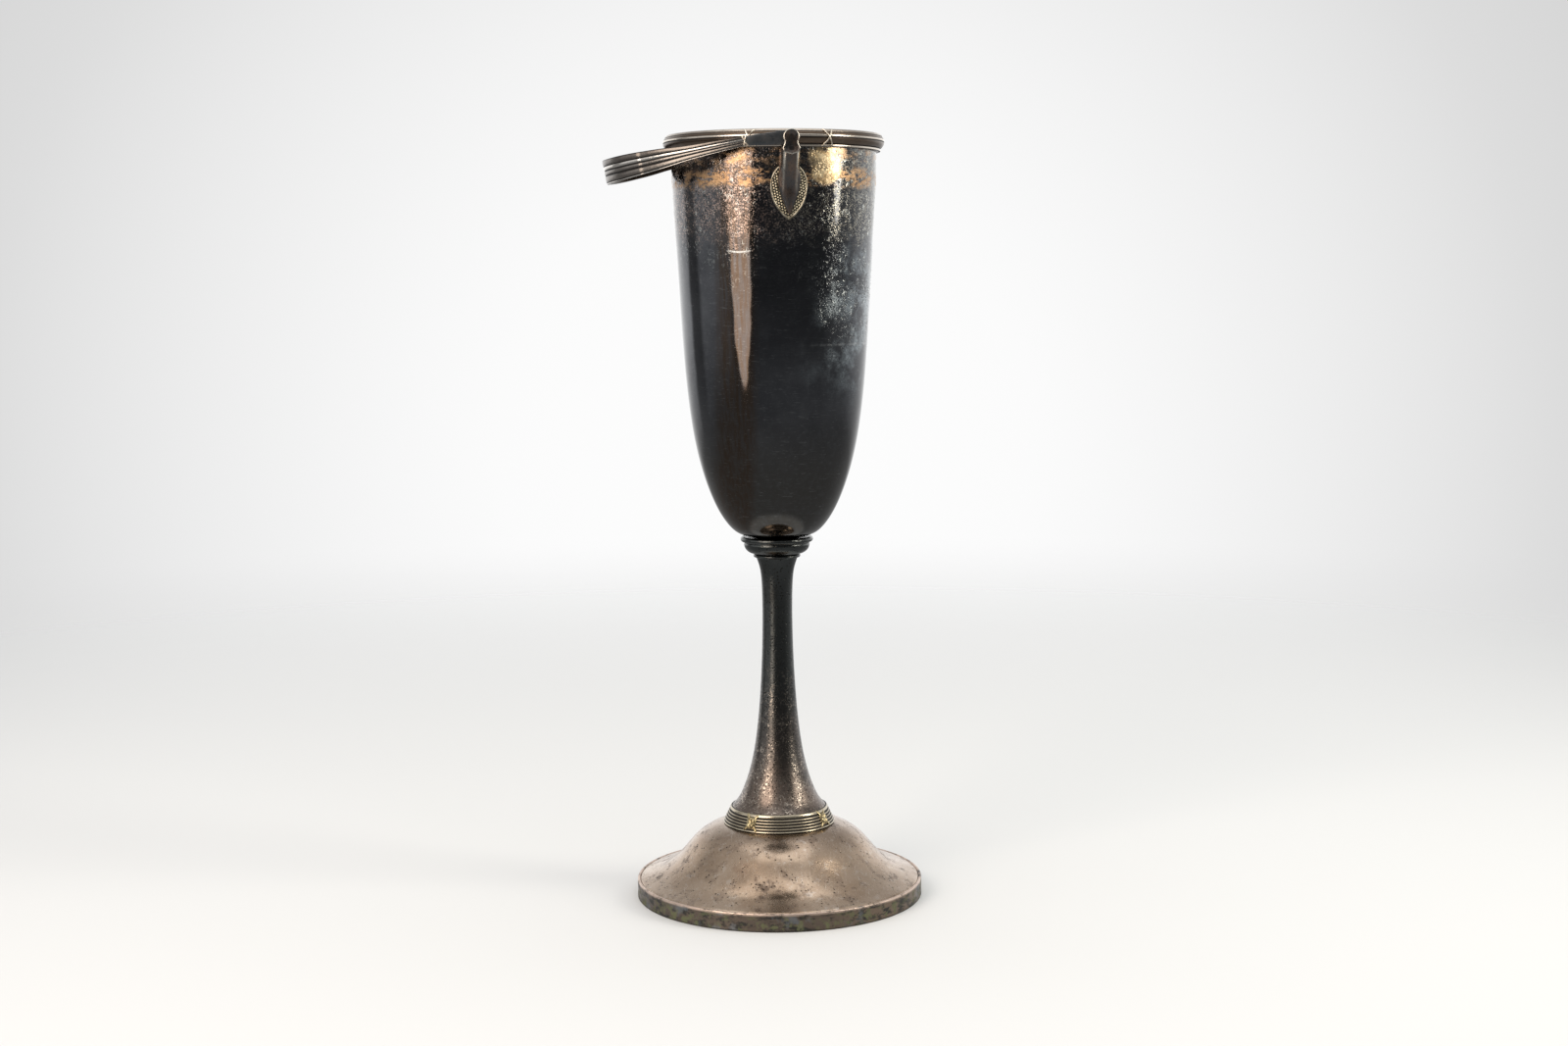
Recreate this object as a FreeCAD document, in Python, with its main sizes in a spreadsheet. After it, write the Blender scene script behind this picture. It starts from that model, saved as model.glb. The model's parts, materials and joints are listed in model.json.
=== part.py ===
import FreeCAD, Part
import math
import os
import Sketcher

# A tall silver-plated cooler in the form of a cup: a flared bowl with a reeded rim, on a stem and a domed
# foot, with a bail handle that swings on two lugs. Millimetres, +Z up, origin at the middle of the
# underside. The hinge axis runs along Y, and the handle lies towards -X.

SIZES = {
    # Bowl: the outer surface at its named stations, from the flat seat up to the edge
    "bowl_wall": 1.5,
    "seat_radius": 27.0,
    "seat_height": 370.0,
    "heel_radius": 39.2,
    "heel_height": 374.0,
    "turn_radius": 51.3,
    "turn_height": 386.0,
    "haunch_radius": 67.6,
    "haunch_height": 416.0,
    "shoulder_radius": 82.4,
    "shoulder_height": 470.0,
    "waist_radius": 92.9,
    "waist_height": 561.0,
    "flare_radius": 102.0,
    "flare_height": 711.0,
    "bowl_radius": 102.8,
    "neck_height": 740.0,
    "bowl_edge": 773.4,
    # Rim moulding, laid round the bowl's edge
    "rim_top": 774.0,
    "rim_height": 17.0,
    "rim_radius": 111.2,
    "rim_lip": 3.6,
    "rim_ribbon": 0.9,
    "rim_ribbon_width": 2.3,
    "rim_ribbon_span": 14.5,
    # Stem and its two fittings under the bowl
    "rod_radius": 4.0,
    "rod_bore": 5.0,
    "boss_radius": 14.0,
    "boss_height": 8.0,
    "bead_radius": 37.0,
    "bead_size": 2.7,
    "collar_bottom": 353.0,
    "collar_neck": 24.0,
    "stem_top": 349.0,
    "stem_wall": 1.6,
    "stem_top_radius": 21.4,
    "stem_throat_radius": 16.3,
    "stem_throat_height": 328.0,
    "stem_waist_radius": 15.25,
    "stem_waist_height": 287.0,
    # Foot: reeded ring, dome and edge band
    "ring_top": 91.8,
    "ring_top_radius": 48.6,
    "ring_bottom_radius": 56.8,
    "ring_bore": 44.5,
    "foot_ribbon": 1.3,
    "foot_ribbon_width": 3.0,
    "foot_ribbon_span": 17.0,
    "dome_top": 74.6,
    "dome_wall": 1.4,
    "dome_turn_radius": 91.5,
    "dome_turn_height": 53.6,
    "dome_edge_radius": 142.0,
    "dome_edge_height": 19.0,
    "foot_radius": 146.4,
    "band_wall": 2.8,
    "band_height": 18.4,
    "clamp_radius": 42.0,
    "clamp_thickness": 3.0,
    # Hinge: a lug at each end of the hinge axis
    "pivot_height": 765.4,
    "pin_radius": 2.5,
    "pin_play": 0.08,
    "head_radius": 7.8,
    "head_back": 115.5,
    "head_front": 120.6,
    "washer_radius": 6.2,
    "washer_thickness": 0.35,
    "neck_half": 6.65,
    "neck_bottom": 750.0,
    "stop_half": 7.2,
    "stop_height": 757.9,
    "arm_shoulder_half": 10.25,
    "arm_shoulder_bottom": 745.0,
    "arm_shoulder_top": 753.0,
    "arm_waist_half": 10.1,
    "arm_waist_height": 738.0,
    "arm_half": 11.6,
    "arm_widest_height": 724.6,
    "arm_tip": 692.0,
    "arm_back": 98.0,
    "leaf_tip": 686.5,
    "leaf_half": 18.3,
    "leaf_widest_height": 720.7,
    "leaf_crown_half": 10.0,
    "leaf_crown_height": 738.6,
    "leaf_top": 746.0,
    "plate_thickness": 1.6,
    # Bail handle, measured in its own plane from the hinge axis
    "bail_half": 112.0,
    "bail_reach": 169.0,
    "bail_strap": 3.0,
    "bail_apex_radius": 80.0,
    "bail_side_radius": 217.0,
    "bail_eye_radius": 7.0,
    "bail_lift": 4.75,
    "bail_end_length": 43.0,
    "bail_joint_half": 4.45,
    "bail_swell": 109.0,
    "bail_swell_half": 7.9,
    "bail_apex_half": 11.9,
    "bail_wrap": 0.9,
    "bail_wrap_reach": 2.6,
    "bail_drop": 11.0,
}

LUGS = (0, 180)
RIM_TIE_TURN = 20.6
FOOT_TIES = 4
FOOT_KNOT = 8.6
FOOT_TIE_TURN = 4.75


class Size:
    """A length known both as a number and as the expression on the sheet that gives it."""

    def __init__(self, number, text):
        self.number = number
        self.text = text

    def __add__(self, other):
        other = as_size(other)
        return Size(self.number + other.number, f"({self.text} + {other.text})")

    def __sub__(self, other):
        other = as_size(other)
        return Size(self.number - other.number, f"({self.text} - {other.text})")

    def __mul__(self, factor):
        return Size(self.number * factor, f"({self.text} * {factor})")

    def __neg__(self):
        return Size(-self.number, f"(-{self.text})")


def as_size(value):
    """A plain number as a Size of its own."""
    if isinstance(value, Size):
        return value
    return Size(float(value), f"({float(value)})")


class Sheet:
    """The spreadsheet of driving dimensions, with each cell's Size as an attribute."""

    def __init__(self, doc, sizes):
        sheet = doc.addObject("Spreadsheet::Sheet", "Dims")
        for row, (alias, number) in enumerate(sizes.items(), start=1):
            sheet.set(f"A{row}", alias)
            sheet.set(f"B{row}", str(number))
            sheet.setAlias(f"B{row}", alias)
            setattr(self, alias, Size(number, f"Dims.{alias}"))


# Drawing ------------------------------------------------------------------------------------------

def arc_between(start, end, radius):
    """The short arc from start to end; a positive radius swells to the right of the way travelled."""
    chord = end - start
    half = chord.Length / 2
    rise = math.sqrt(radius * radius - half * half)
    left = FreeCAD.Vector(-chord.y, chord.x, 0).normalize()
    centre = (start + end) * 0.5 + left * math.copysign(rise, radius)
    circle = Part.Circle(centre, FreeCAD.Vector(0, 0, 1), abs(radius))
    first, last = (start, end) if radius > 0 else (end, start)
    begin = math.atan2(first.y - centre.y, first.x - centre.x)
    finish = math.atan2(last.y - centre.y, last.x - centre.x)
    if finish < begin:
        finish += 2 * math.pi
    return Part.ArcOfCircle(circle, begin, finish)


def draw_outline(sketch, points):
    """Draws a closed outline, anticlockwise, and ties every corner and radius to the sheet.

    Each point is (x, y) or (x, y, radius), where the radius shapes the stretch that arrives there."""
    corners = [(as_size(p[0]), as_size(p[1])) for p in points]
    places = [FreeCAD.Vector(x.number, y.number, 0) for x, y in corners]
    count = len(points)
    curves = []
    radii = []
    for i in range(count):
        arrival = points[(i + 1) % count]
        radius = as_size(arrival[2]) if len(arrival) > 2 else None
        start, end = places[i], places[(i + 1) % count]
        if radius is None:
            curves.append(Part.LineSegment(start, end))
        else:
            curves.append(arc_between(start, end, radius.number))
        radii.append(radius)
    sketch.addGeometry(curves, False)
    constraints = []
    bound = []
    for i in range(count):
        backwards = radii[i] is not None and radii[i].number < 0
        begins, ends = (2, 1) if backwards else (1, 2)
        after = (i + 1) % count
        after_backwards = radii[after] is not None and radii[after].number < 0
        constraints.append(Sketcher.Constraint("Coincident", i, ends, after, 2 if after_backwards else 1))
        for size, kind, axis in ((corners[i][0], "DistanceX", -2), (corners[i][1], "DistanceY", -1)):
            if size.number == 0:
                constraints.append(Sketcher.Constraint("PointOnObject", i, begins, axis))
            else:
                bound.append((len(constraints), size))
                constraints.append(Sketcher.Constraint(kind, -1, 1, i, begins, size.number))
        if radii[i] is not None:
            radius = radii[i] if radii[i].number > 0 else -radii[i]
            bound.append((len(constraints), radius))
            constraints.append(Sketcher.Constraint("Radius", i, radius.number))
    sketch.addConstraint(constraints)
    for index, size in bound:
        sketch.setExpression(f"Constraints[{index}]", size.text)


def both_sides(half):
    """Completes an outline that climbs the +X side from the middle line back to it, with its mirror image."""
    radii = [p[2:] for p in half]
    left = [(-as_size(p[0]), p[1], *radii[i + 1]) for i, p in enumerate(half[1:-1], start=1)]
    first = (half[0][0], half[0][1], *radii[1])
    return [first] + half[1:] + left[::-1]


def round_half(middle, radius):
    """Two quarter arcs that carry an outline over a half-round bead about `middle` = (x, y)."""
    x, y = middle
    return [(x + radius, y, radius), (x, y + radius, radius)]


def reeds(start, end, count, swell):
    """Convex reeds side by side from start to end; `swell` is each reed's radius."""
    steps = []
    for i in range(1, count + 1):
        share = i / count
        x = start[0] + (end[0] - start[0]) * share
        y = start[1] + (end[1] - start[1]) * share
        steps.append((x, y, swell))
    return steps


def heading(start, end, radius, at_end):
    """The direction of travel, in radians, where a stretch begins or where it ends."""
    chord = end - start
    middle = math.atan2(chord.y, chord.x)
    if radius is None:
        return middle
    half = math.asin(chord.Length / 2 / radius)
    return middle + half if at_end else middle - half


def sheet_section(side, wall):
    """The closed section of a sheet-metal shell, from its outer side travelled upwards.

    The inner face is the outer one moved in by the wall: each corner along the mean of its two normals, and
    each arc about its own centre. An end stays level, or stays on the axis when it lies on it."""
    corners = [(as_size(p[0]), as_size(p[1])) for p in side]
    places = [FreeCAD.Vector(x.number, y.number, 0) for x, y in corners]
    radii = [as_size(p[2]) if len(p) > 2 else None for p in side]
    numbers = [None if r is None else r.number for r in radii]
    inner = []
    last = len(side) - 1
    for i, (x, y) in enumerate(corners):
        before = heading(places[i - 1], places[i], numbers[i], True) if i > 0 else None
        after = heading(places[i], places[i + 1], numbers[i + 1], False) if i < last else None
        first = after if before is None else before
        second = before if after is None else after
        mean = (first + second) / 2
        reach = 1 / math.cos((second - first) / 2)
        across, along = -math.sin(mean) * reach, math.cos(mean) * reach
        if x.number == 0:
            across, along = 0, 1 / along
        elif before is None or after is None:
            across, along = 1 / across, 0
        inner.append((x + wall * across, y + wall * along))
    section = list(side) + [inner[last]]
    for i in range(last, 0, -1):
        back = [] if radii[i] is None else [wall - radii[i]]
        section.append((*inner[i - 1], *back))
    return section


# Features -----------------------------------------------------------------------------------------

def new_body(doc, name):
    body = doc.addObject("PartDesign::Body", name)
    body.Label = name
    return body


def add_sketch(body, name, role, points):
    """A sketch of one closed outline on one of the body's own origin planes."""
    sketch = body.newObject("Sketcher::SketchObject", f"{body.Name}_{name}")
    plane = next(f for f in body.Origin.OriginFeatures if f.Role == role)
    sketch.AttachmentSupport = [(plane, "")]
    sketch.MapMode = "FlatFace"
    draw_outline(sketch, points)
    return sketch


def spun(doc, name, points):
    """A body turned about the Z axis from its half section (radius, height)."""
    body = new_body(doc, name)
    sketch = add_sketch(body, "section", "XZ_Plane", points)
    turned = body.newObject("PartDesign::Revolution", f"{name}_turned")
    turned.Profile = sketch
    turned.ReferenceAxis = (sketch, ["V_Axis"])
    turned.Angle = 360
    sketch.Visibility = False
    return body


def padded(doc, name, role, points, length, symmetric=False, start=None):
    """A body made by padding one outline along its plane's normal, from `start` when given."""
    body = new_body(doc, name)
    sketch = add_sketch(body, "outline", role, points)
    if start is not None:
        sketch.setExpression("AttachmentOffset.Base.z", start.text)
    pad = body.newObject("PartDesign::Pad", f"{name}_pad")
    pad.Profile = sketch
    pad.Midplane = symmetric
    pad.setExpression("Length", length.text)
    return body


def round_bar(doc, name, radius, length, place):
    """A plain cylinder; `place` puts its own base and direction."""
    bar = doc.addObject("Part::Cylinder", name)
    bar.Label = name
    bar.setExpression("Radius", radius.text)
    bar.setExpression("Height", length.text)
    bar.Placement = place
    return bar


def combined(doc, kind, name, base, tool):
    """Part::Cut, Part::Common or Part::Fuse of two objects."""
    result = doc.addObject(f"Part::{kind}", name)
    result.Label = name
    result.Base = base
    result.Tool = tool
    return result


def mirrored(doc, name, source):
    """The mirror image of an object across the plane Y = 0."""
    image = doc.addObject("Part::Mirroring", name)
    image.Label = name
    image.Source = source
    image.Normal = FreeCAD.Vector(0, 1, 0)
    return image


# Bowl and rim -------------------------------------------------------------------------------------

def bowl_side(d):
    """The bowl's outer surface as outline points, from the middle of its seat up to its edge."""
    return [
        (0, d.seat_height),
        (d.seat_radius, d.seat_height),
        (d.heel_radius, d.heel_height, 20.6),
        (d.turn_radius, d.turn_height, 57.6),
        (d.haunch_radius, d.haunch_height, 124),
        (d.shoulder_radius, d.shoulder_height, 312),
        (d.waist_radius, d.waist_height, 725),
        (d.flare_radius, d.flare_height),
        (d.bowl_radius, d.neck_height, 346),
        (d.bowl_radius, d.bowl_edge),
    ]


def make_bowl(doc, d):
    return spun(doc, "bowl_shell", sheet_section(bowl_side(d), d.bowl_wall))


def rim_face(d, grown):
    """The moulding's outer face, bottom to top: a fillet, four reeds of falling size and a top bead."""
    bottom = d.rim_top - d.rim_height
    lip = d.bowl_radius + d.rim_lip + grown
    return [
        (lip, bottom),
        (lip, bottom + 1.7),
        (d.rim_radius - 0.7 + grown, bottom + 7.6, 4.4),
        (d.rim_radius - 1.0 + grown, bottom + 11.2, 2.0),
        (d.rim_radius - 2.6 + grown, bottom + 14.1, 1.9),
        (d.rim_radius - 5.0 + grown, d.rim_top, 2.2),
    ]


def make_rim(doc, d):
    """The reeded moulding: it laps the bowl's edge and lies against its side."""
    inside = d.bowl_radius - d.bowl_wall
    bottom = d.rim_top - d.rim_height
    outline = [(d.bowl_radius, bottom)] + rim_face(d, 0)
    outline += [(inside, d.rim_top), (inside, d.bowl_edge), (d.bowl_radius, d.bowl_edge)]
    return spun(doc, "rim_moulding", outline)


def crossed_strips(width, span, low, high, reach):
    """Two crossing strips seen from -Y, filling the span between two heights, as one prism along Y."""
    rise = high - low
    length = math.hypot(span, rise) * 1.2
    tilt = math.degrees(math.atan2(span, rise))
    middle = FreeCAD.Vector(0, 0, (low + high) / 2)
    strips = []
    for side in (-1, 1):
        strip = Part.makeBox(width, reach, length, FreeCAD.Vector(-width / 2, -reach, -length / 2))
        strip.rotate(FreeCAD.Vector(), FreeCAD.Vector(0, 1, 0), side * tilt)
        strip.translate(middle)
        strips.append(strip)
    return strips[0].fuse(strips[1])


def ties_on(doc, name, skin, core, prism, angles):
    """The same crossed ribbon at each angle: the prism's share of the skin that lies on the core."""
    pieces = []
    for angle in angles:
        placed = prism.copy()
        placed.rotate(FreeCAD.Vector(), FreeCAD.Vector(0, 0, 1), angle)
        pieces.extend(skin.common(placed).cut(core).Solids)
    group = doc.addObject("Part::Feature", name)
    group.Label = name
    group.Shape = Part.makeCompound(pieces)
    return group


def make_rim_ties(doc, d, rim):
    """Crossed ribbons that bind the reeds, one on each side of each lug."""
    grown = spun(doc, "rim_ribbon_skin", [(d.bowl_radius + 1, d.rim_top - d.rim_height)]
                 + rim_face(d, d.rim_ribbon) + [(d.bowl_radius + 1, d.rim_top)])
    doc.recompute()
    low = SIZES["rim_top"] - SIZES["rim_height"]
    prism = crossed_strips(SIZES["rim_ribbon_width"], SIZES["rim_ribbon_span"], low, SIZES["rim_top"],
                           SIZES["rim_radius"] + 10)
    angles = [lug + side * RIM_TIE_TURN for lug in LUGS for side in (-1, 1)]
    return ties_on(doc, "rim_ribbon_ties", grown.Shape, rim.Shape, prism, angles)


# Stem ---------------------------------------------------------------------------------------------

def make_boss(doc, d):
    """The threaded disc under the bowl that takes the tie rod."""
    low = d.seat_height - d.boss_height
    return spun(doc, "bowl_boss", [
        (d.rod_radius, low), (d.boss_radius, low), (d.boss_radius, d.seat_height), (d.rod_radius, d.seat_height)])


def make_collar(doc, d):
    """The cast collar: a quarter round under a bead, with a recess for the boss."""
    bead = d.bead_radius - d.bead_size
    middle = d.seat_height - 2.3
    recess = d.boss_radius + 0.2
    recess_floor = d.seat_height - d.boss_height - 0.2
    outline = [
        (d.rod_bore, d.collar_bottom),
        (d.collar_neck, d.collar_bottom),
        (d.collar_neck + 9.5, d.collar_bottom + 10.4, 11.6),
        (d.collar_neck + 8.4, d.collar_bottom + 10.4),
        (d.collar_neck + 8.4, middle - d.bead_size),
        (bead, middle - d.bead_size),
    ]
    outline += round_half((bead, middle), d.bead_size)
    outline += [
        (d.seat_radius, d.seat_height),
        (recess, d.seat_height),
        (recess, recess_floor),
        (d.rod_bore, recess_floor),
    ]
    return spun(doc, "knop_collar", outline)


def make_lower_ring(doc, d):
    """The flat ring that closes the stem's top, with a rounded edge."""
    rounding = (d.collar_bottom - d.stem_top) * 0.5
    outline = [(d.rod_bore, d.stem_top), (d.collar_neck - rounding, d.stem_top)]
    outline += round_half((d.collar_neck - rounding, d.stem_top + rounding), rounding)
    outline += [(d.rod_bore, d.collar_bottom)]
    return spun(doc, "knop_lower_ring", outline)


def make_stem(doc, d):
    """The raised stem: a slender trumpet that widens down to the foot ring."""
    side = [
        (d.ring_top_radius - 1, d.ring_top),
        (34.6, 113.5, -63.6),
        (23.9, 156.0, -192),
        (17.9, 214.0, -796),
        (d.stem_waist_radius, d.stem_waist_height, -1185),
        (d.stem_throat_radius, d.stem_throat_height, -801),
        (d.stem_top_radius, d.stem_top, -58),
    ]
    return spun(doc, "stem_tube", sheet_section(side, d.stem_wall))


# Foot ---------------------------------------------------------------------------------------------

def ring_face(d, grown):
    """The foot ring's leaning face, bottom to top: six reeds side by side."""
    start = (d.ring_bottom_radius + grown, d.dome_top)
    end = (d.ring_top_radius + grown, d.ring_top)
    return [start] + reeds(start, end, 6, 1.75)


def make_foot_ring(doc, d):
    outline = [(d.ring_bore, d.dome_top)] + ring_face(d, 0) + [(d.ring_bore, d.ring_top)]
    return spun(doc, "foot_reed_ring", outline)


def make_foot_ties(doc, d, ring):
    """Crossed ribbons with a square knot, evenly spaced round the foot ring."""
    grown = spun(doc, "foot_ribbon_skin", [(d.ring_bore + 1, d.dome_top)]
                 + ring_face(d, d.foot_ribbon) + [(d.ring_bore + 1, d.ring_top)])
    doc.recompute()
    prism = crossed_strips(SIZES["foot_ribbon_width"], SIZES["foot_ribbon_span"], SIZES["dome_top"],
                           SIZES["ring_top"], SIZES["ring_bottom_radius"] + 10)
    middle = (SIZES["dome_top"] + SIZES["ring_top"]) / 2
    reach = SIZES["ring_bottom_radius"] + 10
    corner = FreeCAD.Vector(-FOOT_KNOT / 2, -reach, middle - FOOT_KNOT / 2)
    prism = prism.fuse(Part.makeBox(FOOT_KNOT, reach, FOOT_KNOT, corner))
    angles = [360 / FOOT_TIES * (i + 0.5) + FOOT_TIE_TURN for i in range(FOOT_TIES)]
    return ties_on(doc, "foot_ribbon_ties", grown.Shape, ring.Shape, prism, angles)


def make_dome(doc, d):
    """The spun foot: a convex shoulder that turns into a hollow flare, with an upright edge."""
    edge = d.foot_radius - d.band_wall
    lower = 1.0
    side = [
        (edge, lower),
        (edge, d.dome_edge_height - 1.4),
        (d.dome_edge_radius, d.dome_edge_height),
        (d.dome_turn_radius, d.dome_turn_height, -115.8),
        (d.ring_bottom_radius + 0.4, d.dome_top, 64.3),
        (0, d.dome_top),
    ]
    sheet = spun(doc, "foot_dome_sheet", sheet_section(side, d.dome_wall))
    bore = round_bar(doc, "foot_dome_bore", d.rod_bore, d.dome_top + 1, FreeCAD.Placement())
    return combined(doc, "Cut", "foot_dome", sheet, bore)


def make_edge_band(doc, d):
    """The upright band round the foot's edge, with a rounded lip."""
    inside = d.foot_radius - d.band_wall
    lip = d.band_wall * 0.5
    outline = [(inside, 0), (d.foot_radius, 0)]
    outline += [(d.foot_radius, d.band_height - lip)]
    outline += round_half((d.foot_radius - lip, d.band_height - lip), lip)[1:]
    outline += [(inside, d.band_height - lip, lip)]
    return spun(doc, "foot_edge_band", outline)


def make_clamp(doc, d):
    """What pulls the cup together: plate, washer, nut and rod, hidden in the foot and the stem."""
    under = d.dome_top - d.dome_wall
    plate_low = under - d.clamp_thickness
    plate = spun(doc, "clamp_plate", [
        (d.rod_bore, plate_low), (d.clamp_radius, plate_low), (d.clamp_radius, under), (d.rod_bore, under)])
    washer_low = plate_low - 1.6
    washer = spun(doc, "tie_washer", [
        (d.rod_bore, washer_low), (10.0, washer_low), (10.0, plate_low), (d.rod_bore, plate_low)])
    nut = new_body(doc, "nut_blank")
    across = 15.0
    corners = [(across / 2 * math.cos(math.radians(a)), across / 2 * math.sin(math.radians(a)))
               for a in range(0, 360, 60)]
    hexagon = add_sketch(nut, "hexagon", "XY_Plane", corners)
    nut_low = washer_low - 6.5
    hexagon.setExpression("AttachmentOffset.Base.z", nut_low.text)
    block = nut.newObject("PartDesign::Pad", "nut_block")
    block.Profile = hexagon
    block.Length = 6.5
    rod_low = nut_low - 4
    rod_place = FreeCAD.Placement(FreeCAD.Vector(0, 0, rod_low.number), FreeCAD.Rotation())
    rod = round_bar(doc, "tie_rod", d.rod_radius, d.seat_height - 1 - rod_low, rod_place)
    rod.setExpression("Placement.Base.z", rod_low.text)
    thread = round_bar(doc, "nut_thread", d.rod_radius, d.seat_height, FreeCAD.Placement())
    tapped = combined(doc, "Cut", "tie_nut", nut, thread)
    return plate, washer, tapped, rod


# Hinge lugs ---------------------------------------------------------------------------------------

def leaf_outline(d):
    """The escutcheon seen from the front: a pointed leaf, widest above its middle."""
    return both_sides([
        (0, d.leaf_tip),
        (d.leaf_half, d.leaf_widest_height, 41.1),
        (d.leaf_crown_half, d.leaf_crown_height, 23.4),
        (0, d.leaf_top),
    ])


def make_escutcheon(doc, d, bowl_solid):
    """The leaf-shaped plate: the front of a thin layer on the bowl, cut to the leaf."""
    leaf = padded(doc, "leaf_prism", "XZ_Plane", leaf_outline(d), d.bowl_radius * 1.2)
    outer = d.bowl_radius + d.plate_thickness
    below = d.leaf_tip - 6
    above = d.leaf_top + 6
    layer = spun(doc, "leaf_layer", [
        (0, below),
        (d.flare_radius - 1.7 + d.plate_thickness, below),
        (d.flare_radius + d.plate_thickness, d.flare_height),
        (outer, d.neck_height, 346),
        (outer, above),
        (0, above),
    ])
    front = combined(doc, "Common", "leaf_front", leaf, layer)
    return combined(doc, "Cut", "front_escutcheon", front, bowl_solid)


def make_arm(doc, d, bowl_solid, plate):
    """The cast arm: a tongue on the escutcheon, shoulders with a flat top that stops the bail, and a head."""
    tongue = padded(doc, "arm_front", "XZ_Plane", both_sides([
        (0, d.arm_tip),
        (d.arm_half, d.arm_widest_height, 70),
        (d.arm_waist_half, d.arm_waist_height, 60),
        (d.arm_shoulder_half, d.arm_shoulder_bottom),
        (d.arm_shoulder_half, d.arm_shoulder_top),
        (d.stop_half, d.stop_height, 5.8),
        (0, d.stop_height),
    ]), d.head_front + 5)
    under_rim = d.rim_top - d.rim_height - 0.2
    past_rim = d.rim_radius + 0.4
    over_stop = d.stop_height + 0.2
    side = padded(doc, "arm_side", "YZ_Plane", [
        (-(d.arm_back + 6), d.arm_tip - 2),
        (-d.arm_back, d.arm_tip - 2),
        (-d.arm_back, under_rim),
        (-past_rim, under_rim),
        (-past_rim, over_stop),
        (-d.head_front, over_stop),
        (-d.head_front, d.neck_bottom),
        (-109.0, 734.0, -22),
        (-106.2, 714.0, -70),
    ], d.head_front, symmetric=True)
    block = combined(doc, "Common", "arm_block", tongue, side)
    neck_drop = math.sqrt(SIZES["head_radius"] ** 2 - SIZES["neck_half"] ** 2)
    slab = padded(doc, "arm_head", "XZ_Plane", both_sides([
        (0, d.neck_bottom),
        (d.neck_half, d.neck_bottom),
        (d.neck_half, d.pivot_height - neck_drop),
        (0, d.pivot_height + d.head_radius, d.head_radius),
    ]), d.head_front - d.head_back, start=d.head_back)
    whole = combined(doc, "Fuse", "arm_whole", block, slab)
    on_bowl = combined(doc, "Cut", "arm_on_bowl", whole, bowl_solid)
    on_plate = combined(doc, "Cut", "arm_on_plate", on_bowl, plate)
    hole = pin_shape(doc, d, "arm_pin_hole", d.pin_radius, 90.0)
    return combined(doc, "Cut", "front_hinge_arm", on_plate, hole)


def pin_shape(doc, d, name, radius, start):
    """A round bar along the hinge axis, from `start` out to the head's face, on the -Y side."""
    towards = FreeCAD.Rotation(FreeCAD.Vector(1, 0, 0), 90)
    place = FreeCAD.Placement(FreeCAD.Vector(0, -start, d.pivot_height.number), towards)
    bar = round_bar(doc, name, radius, d.head_front - start, place)
    bar.setExpression("Placement.Base.z", d.pivot_height.text)
    return bar


def make_washer(doc, d):
    """The thin washer between the arm's head and the bail's eye."""
    disc = round_bar(doc, "washer_disc", d.washer_radius, d.washer_thickness, FreeCAD.Placement())
    disc.Placement = FreeCAD.Placement(
        FreeCAD.Vector(0, -(d.head_back - d.washer_thickness).number, d.pivot_height.number),
        FreeCAD.Rotation(FreeCAD.Vector(1, 0, 0), 90))
    hole = pin_shape(doc, d, "washer_hole", d.pin_radius, 90.0)
    return combined(doc, "Cut", "front_pivot_washer", disc, hole)


# Bail ---------------------------------------------------------------------------------------------

def bail_arch(start):
    """The handle's arch seen from above, lying towards -X, from x = -start round to the other side.

    A wide arc on each side runs into a tighter one at the apex; their centres lie on one line, so they
    meet smoothly."""
    side = SIZES["bail_side_radius"]
    apex = SIZES["bail_apex_radius"]
    centre_y = side - SIZES["bail_half"]
    centre_x = SIZES["bail_reach"] - apex
    gap = math.hypot(centre_x, centre_y)
    inner = side
    outer = side + SIZES["bail_strap"]

    def on_side(radius):
        return (-start, centre_y - math.sqrt(radius * radius - start * start))

    def at_meeting(radius):
        return (-centre_x / gap * radius, centre_y - centre_y / gap * radius)

    def apex_x(radius):
        return -(centre_x + apex + radius - side)

    outside = on_side(outer), at_meeting(outer)
    inside = on_side(inner), at_meeting(inner)
    outer_apex = apex + outer - side
    inner_apex = apex + inner - side
    return [
        (inside[0][0], inside[0][1]),
        (inside[1][0], inside[1][1], -inner),
        (apex_x(inner), 0, -inner_apex),
        (inside[1][0], -inside[1][1], -inner_apex),
        (inside[0][0], -inside[0][1], -inner),
        (outside[0][0], -outside[0][1]),
        (outside[1][0], -outside[1][1], outer),
        (apex_x(outer), 0, outer_apex),
        (outside[1][0], outside[1][1], outer_apex),
        (outside[0][0], outside[0][1], outer),
    ]


def end_strip(low, high, grown):
    """The plan of one end of the bail, on the -Y side, between two distances from the hinge axis."""
    side = SIZES["bail_side_radius"]
    centre_y = side - SIZES["bail_half"]
    inner = side - grown
    outer = side + SIZES["bail_strap"] + grown

    def on_arc(radius, x):
        return centre_y - math.sqrt(radius * radius - x * x)

    return [
        (-high, on_arc(outer, high)),
        (-low, on_arc(outer, low), outer),
        (-low, on_arc(inner, low)),
        (-high, on_arc(inner, high), -inner),
    ]


def bail_placement(d):
    """Turns the flat-drawn bail about the hinge axis into the place where it rests."""
    drop = FreeCAD.Rotation(FreeCAD.Vector(0, 1, 0), -d.bail_drop.number)
    return FreeCAD.Placement(FreeCAD.Vector(0, 0, d.pivot_height.number), drop)


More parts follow.
